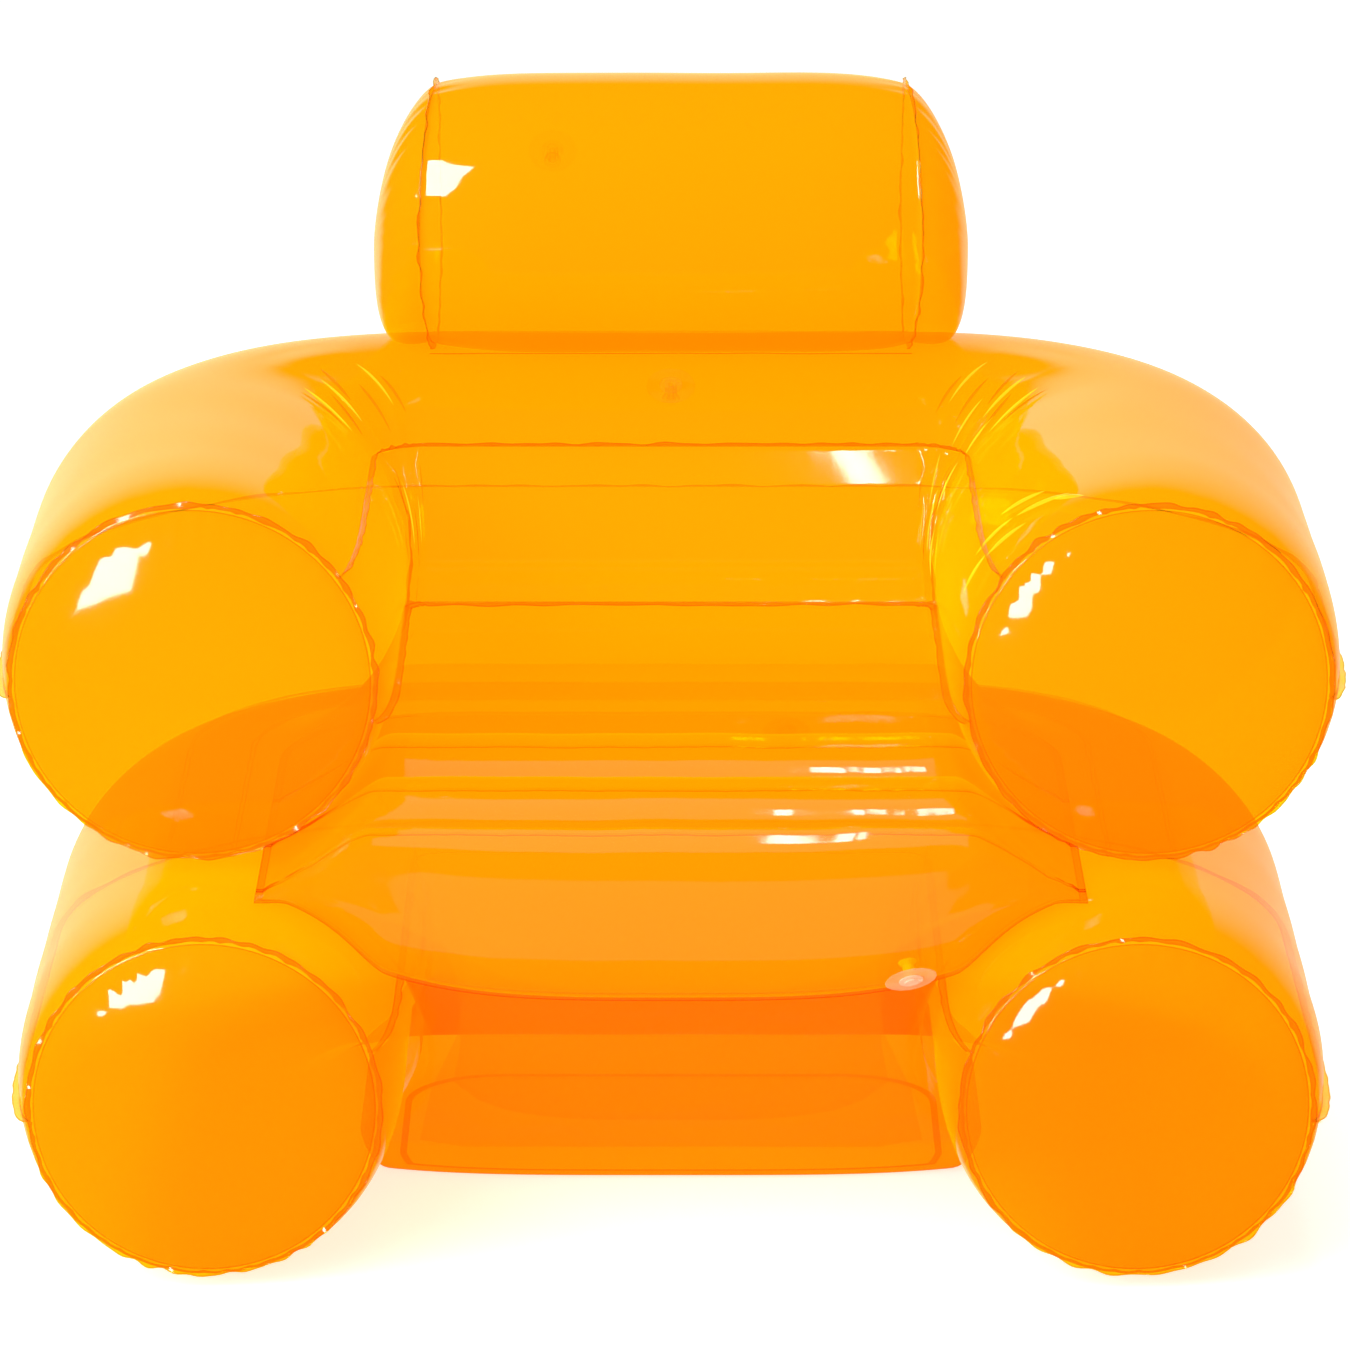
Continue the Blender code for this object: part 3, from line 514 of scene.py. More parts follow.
def seam_lines(path, radius, end_radius, height, mark):
    """A seam's weld line and the cut edge of its lips."""
    angle = math.radians(mark)
    here = end_radius + (radius - end_radius) * swell(path["end"])
    lean, out = seam_wave(path, mark)
    lines = []
    for reach, side in ((here, 0.0 * lean), (here + LIP + out, lean)):
        flat = reach * math.cos(angle) - side * math.sin(angle)
        up = reach * math.sin(angle) + side * math.cos(angle)
        x = path["x"] + path["nx"] * flat
        y = path["y"] + path["ny"] * flat
        lines.append(np.stack([x, y, height + up], axis=-1)[path["end"] > PITCH])
    return lines


def ring_lines(x, front, end_radius, height, seed):
    """The ring weld round a tube's end and the cut edge of its lips."""
    around = np.linspace(0.0, 2.0 * math.pi, 265)
    around[-1] = 0.0
    lean, out = ring_wave(end_radius * np.cos(around), end_radius * np.sin(around), seed)
    lines = []
    for reach, side in ((end_radius + 0.0 * out, 0.0 * lean), (end_radius + LIP + out, lean)):
        line = (x + reach * np.cos(around), front + side, height + reach * np.sin(around))
        lines.append(np.stack(line, axis=-1))
    return lines


def tube_panel(name, tube, welds, flats, seed, gather=SEAM_GATHER):
    """A tube's panel between two welds, with puckers at its welds and ends and creases in the corners.

    flats gives how far the tube reaches down, up, and up under the headrest before it lies flat.
    """
    path, radius, end_radius, height, ring_seeds = tube
    start, end = welds
    low, high, head = flats
    body = np.radians(even(start, end, math.degrees(STEP / radius)))
    s = path["s"][:, None]
    end_at = path["end"][:, None]
    turned = path["turned"][:, None]
    angle = np.concatenate([[body[0]] * 3, body[1:-1], [body[-1]] * 3])[None, :]
    lip = np.zeros_like(angle)
    lip[0, 0:3] = (1.0, 0.5, 0.0)
    lip[0, -3:] = (0.0, 0.5, 1.0)
    shift = np.zeros_like(angle)
    shift[0, 0:3] = PITCH / 2
    shift[0, -3:] = -PITCH / 2
    here = end_radius + (radius - end_radius) * swell(end_at)
    arc = angle * radius
    lift = min(TUBE_UNEVEN, gather) * waves(s, arc, seed, 0.16) * np.clip(end_at / 0.05, 0.0, 1.0)
    lift = lift + RING_GATHER * near(end_at, 0.015) * puckers(arc, seed + 3, 0.024)
    for mark in welds:
        away = (angle - math.radians(mark)) * radius
        lift = lift + gather * near(away, 0.020) * puckers(s, seed + 5 + int(mark), 0.027)
    corner = np.sin(2.0 * np.clip(turned, 0.0, math.pi / 2.0)) ** 2
    inner = np.clip(np.cos(angle), 0.0, 1.0)
    fold = np.abs(np.sin(turned * 6.0 + 0.6 * np.sin(angle * 3.0 + seed))) ** 0.6
    lift = lift - CORNER_FOLD * corner * inner ** 2 * (fold - 0.35)
    ripple = CORNER_RIPPLE * corner * inner ** 0.6 * waves(angle * 0.17, turned * 0.05, seed + 9, 0.045)
    lift = (lift + ripple) * np.where(lip > 0.0, 0.0, 1.0)
    reach = here + lift
    wobble = np.zeros_like(reach)
    for columns, mark in ((slice(0, 3), welds[0]), (slice(-3, None), welds[1])):
        lean, out = seam_wave(path, mark)
        wobble[:, columns] = lean[:, None] * lip[:, columns]
        reach[:, columns] += out[:, None] * lip[:, columns]
    reach = reach + LIP * lip
    side = shift + wobble
    leans = []
    for row, side_x in ((0, -1), (-1, 1)):
        ring = (-side_x * end_radius * np.cos(angle), end_radius * np.sin(angle))
        lean, out = ring_wave(*ring, ring_seeds[side_x])
        reach[row] = (end_radius + LIP + out + LIP * lip)[0]
        leans.append((row, lean[0]))
    flat = reach * np.cos(angle) - side * np.sin(angle)
    up = reach * np.sin(angle) + side * np.cos(angle)
    top = high + 0.0 * s
    if head is not None:
        over = smooth_min((HEAD_HALF_LENGTH + LIP - np.abs(path["x"][:, None])) / 0.05, 1.0, 0.3)
        over = np.where(path["y"][:, None] > BACK_LINE - 1e-6, np.clip(over, 0.0, 1.0), 0.0)
        top = high + (head - high) * over
    up = smooth_max(up, -low + 0.0 * up, 0.003) if low else up
    up = smooth_min(up, top, 0.003)
    points = np.empty((len(path["s"]), angle.shape[1], 3))
    points[:, :, 0] = path["x"][:, None] + path["nx"][:, None] * flat
    points[:, :, 1] = path["y"][:, None] + path["ny"][:, None] * flat
    points[:, :, 2] = height + up
    for row, lean in leans:
        points[row, :, 1] += lean
    grid_piece(name, points, film, lips=(1, 1, 2, 2))


def end_disc(name, x, front, end_radius, height, seed, surface):
    """The round sheet that closes a tube: a bulge with short puckers round its weld and a wavy lip."""
    around = np.linspace(0.0, 2.0 * math.pi, 264, endpoint=False)[None, :]
    body = np.cos(np.radians(np.linspace(3.0, 89.0, 40)))
    share = np.concatenate([[1.0] * 4, body])[:, None]
    lip = np.concatenate([LIP_ROWS, [0.0], np.zeros(40)])[:, None]
    arc = around * end_radius
    radius = end_radius * share
    bulge = DISC_BULGE * np.sqrt(np.clip(1.0 - share ** 2, 0.0, 1.0))
    inside = end_radius - radius
    edge = np.clip(inside / 0.004, 0.0, 1.0)
    bulge = bulge + DISC_GATHER * edge * near(inside, 0.011) * puckers(arc, seed, 0.0245)
    soft = waves(radius * np.cos(around), radius * np.sin(around), seed + 2, 0.11)
    bulge = bulge + TUBE_UNEVEN * edge * soft
    lean, out = ring_wave(end_radius * np.cos(around), end_radius * np.sin(around), seed)
    reach = radius + lip * (LIP + out)
    points = np.empty((len(share), around.shape[1], 3))
    points[:, :, 0] = x + reach * np.cos(around)
    points[:, :, 1] = front - PITCH / 2 - bulge + lean * lip
    points[:, :, 2] = height + reach * np.sin(around)
    grid_piece(name, points, surface, lips=(3, 0, 0, 0), closed=True, pole=True)


def contact_lines(path, half_width, height):
    """The welded strip where two tubes are joined: a line on each side of it, doubled."""
    lines = []
    keep = path["end"] > TAPER_LENGTH / 3
    outer = half_width + STRIP_DOUBLE
    for offset in (-outer, -half_width, half_width, outer):
        shift = offset + 0.0006 * waves(path["s"], 0.0, int(offset * 9000) % 97, 0.05)
        x = path["x"] + path["nx"] * shift
        y = path["y"] + path["ny"] * shift
        lines.append(np.stack([x, y, height + 0.0 * x], axis=-1)[keep])
    return lines


def fold_leaf(path, radius, height, at, angle_deg, way_deg, length, width):
    """A pinched fold of film lying on a tube: a slim leaf, raised along its middle."""
    u = np.linspace(-1.0, 1.0, 19)[:, None]
    v = np.linspace(-1.0, 1.0, 7)[None, :]
    way = math.radians(way_deg)
    along = u * length / 2
    across = v * width / 2 * (1.0 - u ** 2) ** 0.8
    s = at + along * math.cos(way) - across * math.sin(way)
    angle = math.radians(angle_deg) + (along * math.sin(way) + across * math.cos(way)) / radius
    rise = 0.0012 + 0.0016 * (1.0 - v ** 2) * (1.0 - u ** 2)
    return tube_point(path, radius + rise, height, s, angle)


def leaves_piece(name, leaves, surface):
    points = []
    faces = []
    for leaf in leaves:
        rows, columns, _ = leaf.shape
        first = len(points)
        points += [tuple(point) for point in leaf.reshape(-1, 3)]
        for row in range(rows - 1):
            for column in range(columns - 1):
                low = first + row * columns + column
                faces.append((low, low + 1, low + columns + 1, low + columns))
    add_piece(name, points, faces, surface)


def corner_folds(path, radius, height, marks, seed, thin=False):
    """Short folds that fan out from the inner side of both corners of a tube, fewer on the right if thin."""
    rng = np.random.default_rng(seed)
    leaves = []
    for start, sign in ((path["straight"], 1.0), (2.0 * path["half"] - path["straight"], -1.0)):
        for share, angle, way, length in marks[::2 if sign > 0 and thin else 1]:
            at = start + sign * path["bend"] * share
            turned = way if sign > 0 else 180.0 - way
            leaves.append(fold_leaf(path, radius, height, at, angle + rng.uniform(-2.0, 2.0),
                                    turned, length, rng.uniform(0.004, 0.007)))
    return leaves


def build_tubes():
    base = tube_path(BASE_HALF_SPAN, BASE_FRONT)
    arm = tube_path(ARM_HALF_SPAN, ARM_FRONT)
    base_rings = {-1: 31, 1: 33}
    arm_rings = {-1: 41, 1: 43}
    base_tube = (base, BASE_RADIUS, BASE_END_RADIUS, BASE_Z, base_rings)
    arm_tube = (arm, ARM_RADIUS, ARM_END_RADIUS, ARM_Z, arm_rings)
    inner = BASE_INNER_SEAM_DEG
    outer = OUTER_SEAM_DEG
    flats = (BASE_FLAT, BASE_FLAT, None)
    tube_panel("base_top_panel", base_tube, (inner, outer), flats, 11)
    tube_panel("base_bottom_panel", base_tube, (outer, 360.0 + inner), flats, 12)
    upper = ARM_UPPER_SEAM_DEG
    lower = ARM_LOWER_SEAM_DEG
    flats = (ARM_FLAT, ARM_RADIUS + LIP, HEAD_FLAT)
    tube_panel("arm_top_panel", arm_tube, (upper, outer), flats, 21)
    tube_panel("arm_inner_panel", arm_tube, (lower, upper), flats, 22, gather=0.00002)
    tube_panel("arm_bottom_panel", arm_tube, (outer, 360.0 + lower), flats, 23)
    for side, word in ((-1, "right"), (1, "left")):
        base_end = (side * BASE_HALF_SPAN, BASE_FRONT, BASE_END_RADIUS, BASE_Z, base_rings[side])
        arm_end = (side * ARM_HALF_SPAN, ARM_FRONT, ARM_END_RADIUS, ARM_Z, arm_rings[side])
        end_disc("base_end_disc_" + word, *base_end, base_disc_film)
        end_disc("arm_end_disc_" + word, *arm_end, arm_disc_film)
        bead_piece("ring_welds_" + word, ring_lines(*base_end) + ring_lines(*arm_end), BEAD)
    seams = []
    for mark in (inner, outer):
        seams += seam_lines(base, BASE_RADIUS, BASE_END_RADIUS, BASE_Z, mark)
    for mark in (upper, lower, outer):
        seams += seam_lines(arm, ARM_RADIUS, ARM_END_RADIUS, ARM_Z, mark)
    bead_piece("seam_welds", seams, BEAD)
    bead_piece("contact_welds", contact_lines(arm, CONTACT_HALF, JOIN_Z), STRIP_BEAD)
    folds = corner_folds(arm, ARM_RADIUS, ARM_Z, ARM_FOLDS, 91)
    folds += corner_folds(base, BASE_RADIUS, BASE_Z, BASE_FOLDS, 92)
    leaves_piece("corner_folds", folds, weld)
    # Painted glints: bright folds of a film with a strong painted glow, in the corners and at the left arm's
    # front end
    bright = corner_folds(arm, ARM_RADIUS, ARM_Z, BRIGHT_GLINT_FOLDS, 93, thin=True)
    end = 2.0 * arm["half"]
    for at, angle, way, length, width in END_FOLDS:
        bright.append(fold_leaf(arm, ARM_RADIUS, ARM_Z, end - at, angle, way, length, width))
    leaves_piece("bright_glint_folds", bright, glint_fold_film)


# Headrest

SLEEVE_ROWS = 92
CAP_ROWS = 34


def head_loop(radius, around):
    """Section of the roll: y and z round its middle, flat below."""
    y = np.cos(around) * radius
    z = np.sin(around) * radius
    return y, smooth_max(z, -HEAD_DROP + 0.0 * z, 0.003)


def head_points(x, y, z):
    return np.stack(np.broadcast_arrays(x, BACK_LINE + y, HEAD_Z + z), axis=-1)


def head_sleeve(around, arc, bow):
    body = np.linspace(-1.0, 1.0, SLEEVE_ROWS)
    share = np.concatenate([[-1.0] * 3, body, [1.0] * 3])[:, None]
    lip = np.concatenate([LIP_ROWS, np.zeros(SLEEVE_ROWS), LIP_ROWS[::-1]])[:, None]
    away = (1.0 - np.abs(share)) * HEAD_HALF_LENGTH
    soft = waves(share * HEAD_HALF_LENGTH, arc, 51, 0.17)
    lift = HEAD_UNEVEN * soft * np.clip(away / 0.03, 0.0, 1.0)
    gather = HEAD_GATHER * near(away, 0.020) * puckers(arc + share * 0.01, 52, 0.026)
    lift = lift + gather * np.clip(away / 0.004, 0, 1)
    wobble = HEAD_LIP_WAVE * waves(arc, share, 53, 0.024) * lip
    radius = HEAD_END_RADIUS + (HEAD_RADIUS - HEAD_END_RADIUS) * (1.0 - np.abs(share) ** 6)
    x = share * (HEAD_HALF_LENGTH - PITCH / 2) + wobble + np.sign(share) * np.abs(share) ** 8 * bow
    y, z = head_loop(radius + (lift + lip * LIP), around)
    grid_piece("headrest_sleeve", head_points(x, y, z), film, lips=(3, 3, 0, 0), closed=True)


def head_cap(side, word, around, arc, bow):
    start = HEAD_HALF_LENGTH + PITCH / 2
    turn = np.radians(np.concatenate([[0.0] * 3, np.linspace(0.0, 89.0, CAP_ROWS)]))[:, None]
    lip = np.concatenate([LIP_ROWS, np.zeros(CAP_ROWS)])[:, None]
    closing = np.clip(np.cos(turn), 0.0, 1.0)
    inside = HEAD_END_RADIUS * (1.0 - closing ** 0.7)
    out = HEAD_CAP_BULGE * np.sin(turn)
    gather = CAP_GATHER * near(inside, 0.020) * puckers(arc, 54 + int(side), 0.0245)
    gather = gather * np.clip(out / 0.004, 0, 1)
    soft = CAP_UNEVEN * waves(closing * np.cos(around) * 0.12, closing * np.sin(around) * 0.12, 57, 0.10)
    wobble = HEAD_LIP_WAVE * waves(arc, side, 53, 0.024) * lip
    y, z = head_loop(HEAD_END_RADIUS + lip * LIP, around)
    y = y * closing
    z = z * np.where(z > 0.0, closing ** 0.95, closing ** 0.5) - HEAD_CAP_SINK * np.sin(turn)
    z = np.where(turn > 0.0, smooth_max(z, -HEAD_CAP_REST + 0.0 * z, 0.004), z)
    x = side * (start + out + gather + soft * np.sin(turn) + bow * closing) + wobble
    ring = side * (HEAD_HALF_LENGTH + bow[0])
    edge_ring = head_points(ring + wobble[0], y[0], z[0])
    root_y, root_z = head_loop(HEAD_END_RADIUS, around)
    root_ring = head_points(ring, root_y[0], root_z[0])
    rings = [np.concatenate([line, line[:1]]) for line in (edge_ring, root_ring)]
    bead_piece("headrest_weld_" + word, rings, BEAD)
    grid_piece("headrest_cap_" + word, head_points(x, y, z), film, lips=(3, 0, 0, 0), closed=True, pole=True)


def build_headrest():
    around = np.linspace(-math.pi / 2, 1.5 * math.pi, 150, endpoint=False)[None, :]
    bow = HEAD_RING_BOW * (np.clip(-np.cos(around), 0.0, 1.0) - 0.5)
    arc = around * HEAD_RADIUS
    head_sleeve(around, arc, bow)
    for side, word in ((-1.0, "right"), (1.0, "left")):
        head_cap(side, word, around, arc, bow)
    across = np.linspace(-HEAD_HALF_LENGTH, HEAD_HALF_LENGTH, 60)
    lines = []
    for offset in (-HEAD_SEAT_HALF, HEAD_SEAT_HALF):
        y = BACK_LINE + offset + 0.0008 * waves(across, 0.0, 58, 0.07)
        lines.append(np.stack([across, y, HEAD_Z - HEAD_DROP - PITCH / 2 + 0.0 * y], axis=-1))
    bead_piece("headrest_contact_welds", lines, STRIP_BEAD)


# Seat bag

def tube_distance(x, y, half_span):
    across = abs(x) - (half_span - CORNER_RADIUS)
    along = y - (BACK_LINE - CORNER_RADIUS)
    if along <= 0.0:
        return abs(half_span - abs(x))
    if across <= 0.0:
        return abs(BACK_LINE - y)
    return abs(CORNER_RADIUS - math.hypot(across, along))


def under_arm(x, y):
    distance = tube_distance(x, y, ARM_HALF_SPAN)
    return ARM_Z - math.sqrt(max(0.0, ARM_RADIUS ** 2 - distance ** 2)) - BAG_CLEAR


def over_base(x, y):
    distance = tube_distance(x, y, BASE_HALF_SPAN)
    if distance >= BASE_RADIUS:
        return BASE_Z
    return BASE_Z + math.sqrt(BASE_RADIUS ** 2 - distance ** 2) + BAG_CLEAR


def seam_half_width(y):
    past = y - (SEAT_REAR_Y - SEAT_REAR_CORNER)
    if past <= 0.0:
        return SEAT_HALF_WIDTH
    inner = SEAT_HALF_WIDTH - SEAT_REAR_CORNER
    return inner + math.sqrt(max(0.0, SEAT_REAR_CORNER ** 2 - past ** 2))


def crown(y):
    rise = SEAT_CREST - SEAT_VALLEY
    if y >= SEAT_FALL_Y:
        fall = (y - SEAT_FALL_Y) / (SEAT_REAR_Y - SEAT_FALL_Y)
        return SEAT_CREST - (SEAT_CREST - SEAT_SEAM_Z) * fall ** 2
    if y > SEAT_SEAM_Y[2]:
        reach = (SEAT_FALL_Y - y) / (SEAT_FALL_Y - SEAT_SEAM_Y[2])
        return SEAT_VALLEY + rise * math.sqrt(max(0.0, 1.0 - reach ** 2))
    for left, right in zip(SEAT_SEAM_Y, SEAT_SEAM_Y[1:]):
        if left < y < right:
            reach = (2 * y - left - right) / (right - left)
            return SEAT_VALLEY + rise * math.sqrt(1.0 - reach ** 2)
    return SEAT_VALLEY


def pinch(share):
    return 1.0 - PINCH_SHARE * abs(share) ** PINCH_POWER


def crease_point(share):
    full = pinch(share)
    x = share * SEAT_HALF_WIDTH
    y = SEAT_CORNER_Y + (CREASE_Y - SEAT_CORNER_Y) * full
    z = SEAT_SEAM_Z + (CREASE_Z - SEAT_SEAM_Z) * full
    z = min(float(smooth_max(z, over_base(x, y), BAG_CLEAR * 2)), SEAT_SEAM_Z)
    return np.array([x, y, z])


def crease_lip(share):
    turn = math.radians(CREASE_LIP_DEG) * pinch(share)
    out = np.array([0.0, -math.cos(turn), -math.sin(turn)])
    step = 1.0 / 16.0
    along = crease_point(min(1.0, share + step)) - crease_point(max(-1.0, share - step))
    across = np.cross(along, out)
    across = across / np.linalg.norm(across) if abs(share) < 1.0 else np.array([0.0, 0.0, -1.0])
    return out * LIP, across * -(PITCH - WELD_GAP / 2)


def top_point(share, y):
    x = share * seam_half_width(y)
    if abs(share) >= 1.0 or y >= SEAT_REAR_Y:
        return np.array([x, y, SEAT_SEAM_Z])
    height = float(smooth_min(crown(y), under_arm(x, y), BAG_CLEAR * 4))
    return np.array([x, y, max(height, SEAT_SEAM_Z)])


def build_seat_top():
    shares = np.linspace(-1.0, 1.0, 131)
    rows = []
    ys = []
    stops = (SEAT_REAR_Y, SEAT_FALL_Y, SEAT_SEAM_Y[2], SEAT_SEAM_Y[1], SEAT_SEAM_Y[0])
    for start, end in zip(stops, stops[1:]):
        count = int(abs(end - start) / STEP) + 1
        turn = np.linspace(0.0, math.pi, count + 1)[:-1]
        share = 0.5 - 0.5 * np.cos(turn)
        ys += list(start + (end - start) * share)
    ys.append(SEAT_SEAM_Y[0])
    for y in ys:
        rows.append([top_point(share, y) for share in shares])
    first = np.array([0.0, SEAT_SEAM_Y[0], SEAT_VALLEY])
    chord = crease_point(0.0) - first
    across = np.array([0.0, chord[2], -chord[1]])
    across = across / np.linalg.norm(across)
    for angle in np.radians(np.linspace(105.0, 255.0, ROLL_ROWS)):
        y = ROLL_Y + ROLL_RADIUS * math.cos(angle)
        z = ROLL_Z + ROLL_RADIUS * math.sin(angle)
        offset = np.array([0.0, y, z]) - first
        along = offset.dot(chord) / chord.dot(chord)
        bulge = offset.dot(across)
        row = []
        for share in shares:
            start = top_point(share, SEAT_SEAM_Y[0])
            end = crease_point(share)
            row.append(start + (end - start) * along + across * bulge * pinch(share))
        rows.append(row)
    points = np.array(rows)
    points[:, :, 2] += PITCH / 2
    total = len(rows)
    x = points[:, :, 0]
    row_index = np.arange(total)[:, None] + 0.0 * x
    roll_run = SEAT_SEAM_Y[0] - ROLL_RADIUS * np.linspace(0.05, 2.6, ROLL_ROWS)
    y_run = np.concatenate([np.array(ys), roll_run])[:, None] + 0.0 * x
    lift = SEAT_UNEVEN * waves(x, y_run, 61, 0.12)
    for index, mark in enumerate(SEAT_SEAM_Y):
        away = y_run - mark
        lift = lift + SEAT_SEAM_GATHER * near(away, 0.012) * puckers(x, 62 + index, 0.021)
    side = (1.0 - np.abs(shares))[None, :] * SEAT_HALF_WIDTH
    lift = lift + SEAT_RIM_GATHER * near(side, 0.05) * puckers(y_run, 66, 0.017)
    out_x = SEAT_HALF_WIDTH + LIP - np.abs(x)
    out_y = y_run - SEAT_CORNER_Y
    turn = np.arctan2(out_y, out_x)
    fan = np.abs(np.sin(9.0 * turn + 0.8 * np.sign(x))) ** 0.6 - 0.5
    lift = lift + SEAT_CORNER_FOLD * np.exp(-((out_x ** 2 + out_y ** 2) / SEAT_CORNER_REACH ** 2)) * fan
    fade = np.clip(side / 0.02, 0.0, 1.0)
    lift = lift * fade * np.clip((total - 1 - row_index) / 4.0, 0.0, 1.0)
    roll = np.clip((row_index - len(ys)) / 20.0, 0.0, 1.0)
    points[:, :, 2] += lift * (1.0 - roll)
    points[:, :, 1] -= lift * roll
    crease = []
    lip = []
    for share in shares:
        out, across_way = crease_lip(share)
        crease.append(crease_point(share) + across_way)
        lip.append(crease[-1] + out)
    behind = points[0] + np.array([0.0, LIP, 0.0])
    points = np.concatenate([behind[None], points, np.array(crease)[None], np.array(lip)[None]])
    left = points[:, :1].copy()
    right = points[:, -1:].copy()
    left[:, :, 0] -= LIP
    right[:, :, 0] += LIP
    points = np.concatenate([left, points, right], axis=1)
    welds = []
    for mark in SEAT_SEAM_Y:
        row = 1 + int(np.argmin(np.abs(np.array(ys) - mark)))
        centre = points[row].copy()
        for offset in (-SEAT_WELD_HALF, SEAT_WELD_HALF):
            line = centre + np.array([0.0, offset, SEAT_WELD_RISE])
            line[:, 1] += 0.0005 * waves(line[:, 0], 0.0, row, 0.04)
            welds.append(line)
    bead_piece("seat_welds", welds, SEAT_BEAD, seat_weld)
    piece = grid_piece("seat_top_panel", points, top_film, lips=(1, 1, 1, 1))


def bag_front(z):
    if z >= CREASE_Z:
        rise = (z - CREASE_Z) / (SEAT_SEAM_Z - CREASE_Z)
        return CREASE_Y + (SEAT_CORNER_Y - CREASE_Y) * rise
    share = z / CREASE_Z
    bulge = BAG_CORNER * math.sin(math.pi * share)
    return BAG_TOE_Y + (CREASE_Y - BAG_TOE_Y) * share - bulge


def bag_height(level, start_z):
    reach = BASE_RADIUS + BAG_CLEAR
    middle = math.pi / 2
    if level > 1.0:
        turn = middle + (math.radians(BAG_FOOT_DEG) - middle) * (level - 1.0)
    else:
        start = math.acos(min(1.0, (start_z - BASE_Z) / reach))
        turn = start + (middle - start) * level
    return BASE_Z + reach * math.cos(turn), reach * math.sin(turn)


def bag_outline(level):
    """The bag's outline from above at a level: 0 at its rim, 1 at the tube's side, 2 at its foot."""
    loop = []
    for share in np.linspace(-1.0, 1.0, FRONT_COLUMNS + 1):
        crease = crease_point(share)
        if not level:
            loop.append(crease)
            continue
        z, wall = bag_height(level, crease[2])
        half = BASE_HALF_SPAN - wall - BAG_CLEAR * (1.0 - abs(share)) * 4
        x = math.copysign(min(abs(share) * SEAT_HALF_WIDTH, half), share)
        loop.append(np.array([x, bag_front(z) + BAG_SIDE_SETBACK * share ** 4, z]))
    z, wall = bag_height(level, SEAT_SEAM_Z)
    half = SEAT_HALF_WIDTH
    rear = SEAT_REAR_Y
    corner = SEAT_REAR_CORNER
    if level:
        half = min(half, BASE_HALF_SPAN - wall)
        rear = min(rear, BACK_LINE - wall)
        corner = min(corner, CORNER_RADIUS - wall + 3 * BAG_CLEAR)
    else:
        z = SEAT_SEAM_Z
    ys = np.linspace(loop[-1][1], rear - corner, SIDE_COLUMNS + 1)[1:]
    right = [np.array([half, y, z]) for y in ys]
    for angle in np.linspace(0.0, math.pi / 2, CORNER_COLUMNS + 1)[1:]:
        x = half - corner + corner * math.cos(angle)
        y = rear - corner + corner * math.sin(angle)
        right.append(np.array([x, y, z]))
    left = [np.array([-point[0], point[1], point[2]]) for point in reversed(right)]
    xs = np.linspace(right[-1][0], left[0][0], REAR_COLUMNS + 1)[1:-1]
    middle = [np.array([x, rear, z]) for x in xs]
    return np.array(loop + right + middle + left)


def tuck(loop, in_by, z):
    """An outline drawn in all round by a distance, at a height."""
    half = loop[:, 0].max()
    front = loop[:, 1].min()
    rear = loop[:, 1].max()
    middle = (front + rear) / 2
    drawn = loop.copy()
    drawn[:, 0] *= 1.0 - in_by / half
    drawn[:, 1] = middle + (loop[:, 1] - middle) * (1.0 - in_by / (rear - middle))
    drawn[:, 2] = z
    return drawn


# About how far apart the wall's columns and rows lie, for the waves on it
WALL_COLUMN = 0.0062
WALL_ROW = 0.0075


def build_seat_wall():
    """The bag's front, sides and back, from its rim to the ring where its floor starts."""
    outline = bag_outline(0.0)
    seam = []
    lip = []
    for index, point in enumerate(outline):
        if index <= FRONT_COLUMNS:
            out, across = crease_lip(2.0 * index / FRONT_COLUMNS - 1.0)
            if index in (0, FRONT_COLUMNS):
                out = out + np.array([math.copysign(LIP, point[0]), 0.0, 0.0])
        else:
            across = np.array([0.0, 0.0, PITCH / 2])
            before = outline[index - 1]
            after = outline[(index + 1) % len(outline)]
            out = np.array([after[1] - before[1], before[0] - after[0], 0.0])
            out = out / np.linalg.norm(out) * LIP
        seam.append(point - across)
        lip.append(point - across + out)
    rows = [np.array(lip), np.array(seam)]
    for level in np.concatenate([np.linspace(0.0, 1.0, 26)[1:], np.linspace(1.0, 2.0, 22)[1:]]):
        rows.append(bag_outline(level))
    foot = rows[-1]
    height = foot[0][2] - FLOOR_CLEAR
    for turn in np.radians(np.linspace(0.0, 90.0, 9)[1:]):
        rows.append(tuck(foot, BAG_CORNER * (1.0 - math.cos(turn)), foot[0][2] - height * math.sin(turn)))
    ring = rows[-1]
    rows.append(tuck(ring, LIP * 2, FLOOR_CLEAR))
    points = np.array(rows)
    count = len(rows)
    around = np.arange(points.shape[1])[None, :] * WALL_COLUMN
    down = np.arange(count)[:, None] * WALL_ROW
    lift = WALL_UNEVEN * waves(around, down, 71, 0.10)
    lift = lift + WALL_GATHER * near(down - 0.015, 0.03) * puckers(around, 72, 0.019)
    fade = np.clip((down - 0.015) / 0.02, 0.0, 1.0)
    fade = fade * np.clip((count - 11 - down / WALL_ROW) / 5.0, 0.0, 1.0)
    inward = np.roll(points, 1, axis=1) - np.roll(points, -1, axis=1)
    normal = np.stack([inward[:, :, 1], -inward[:, :, 0], 0.0 * inward[:, :, 0]], axis=2)
    normal /= np.maximum(np.linalg.norm(normal, axis=2)[:, :, None], 1e-9)
    points += normal * (np.abs(lift) * fade)[:, :, None]
    rims = [np.concatenate([points[row], points[row][:1]]) for row in (0, 1)]
    bead_piece("seat_rim_welds", rims, BEAD)
    piece = grid_piece("seat_wall_panel", points, wall_film, lips=(1, 0, 0, 0), closed=True)
    return ring


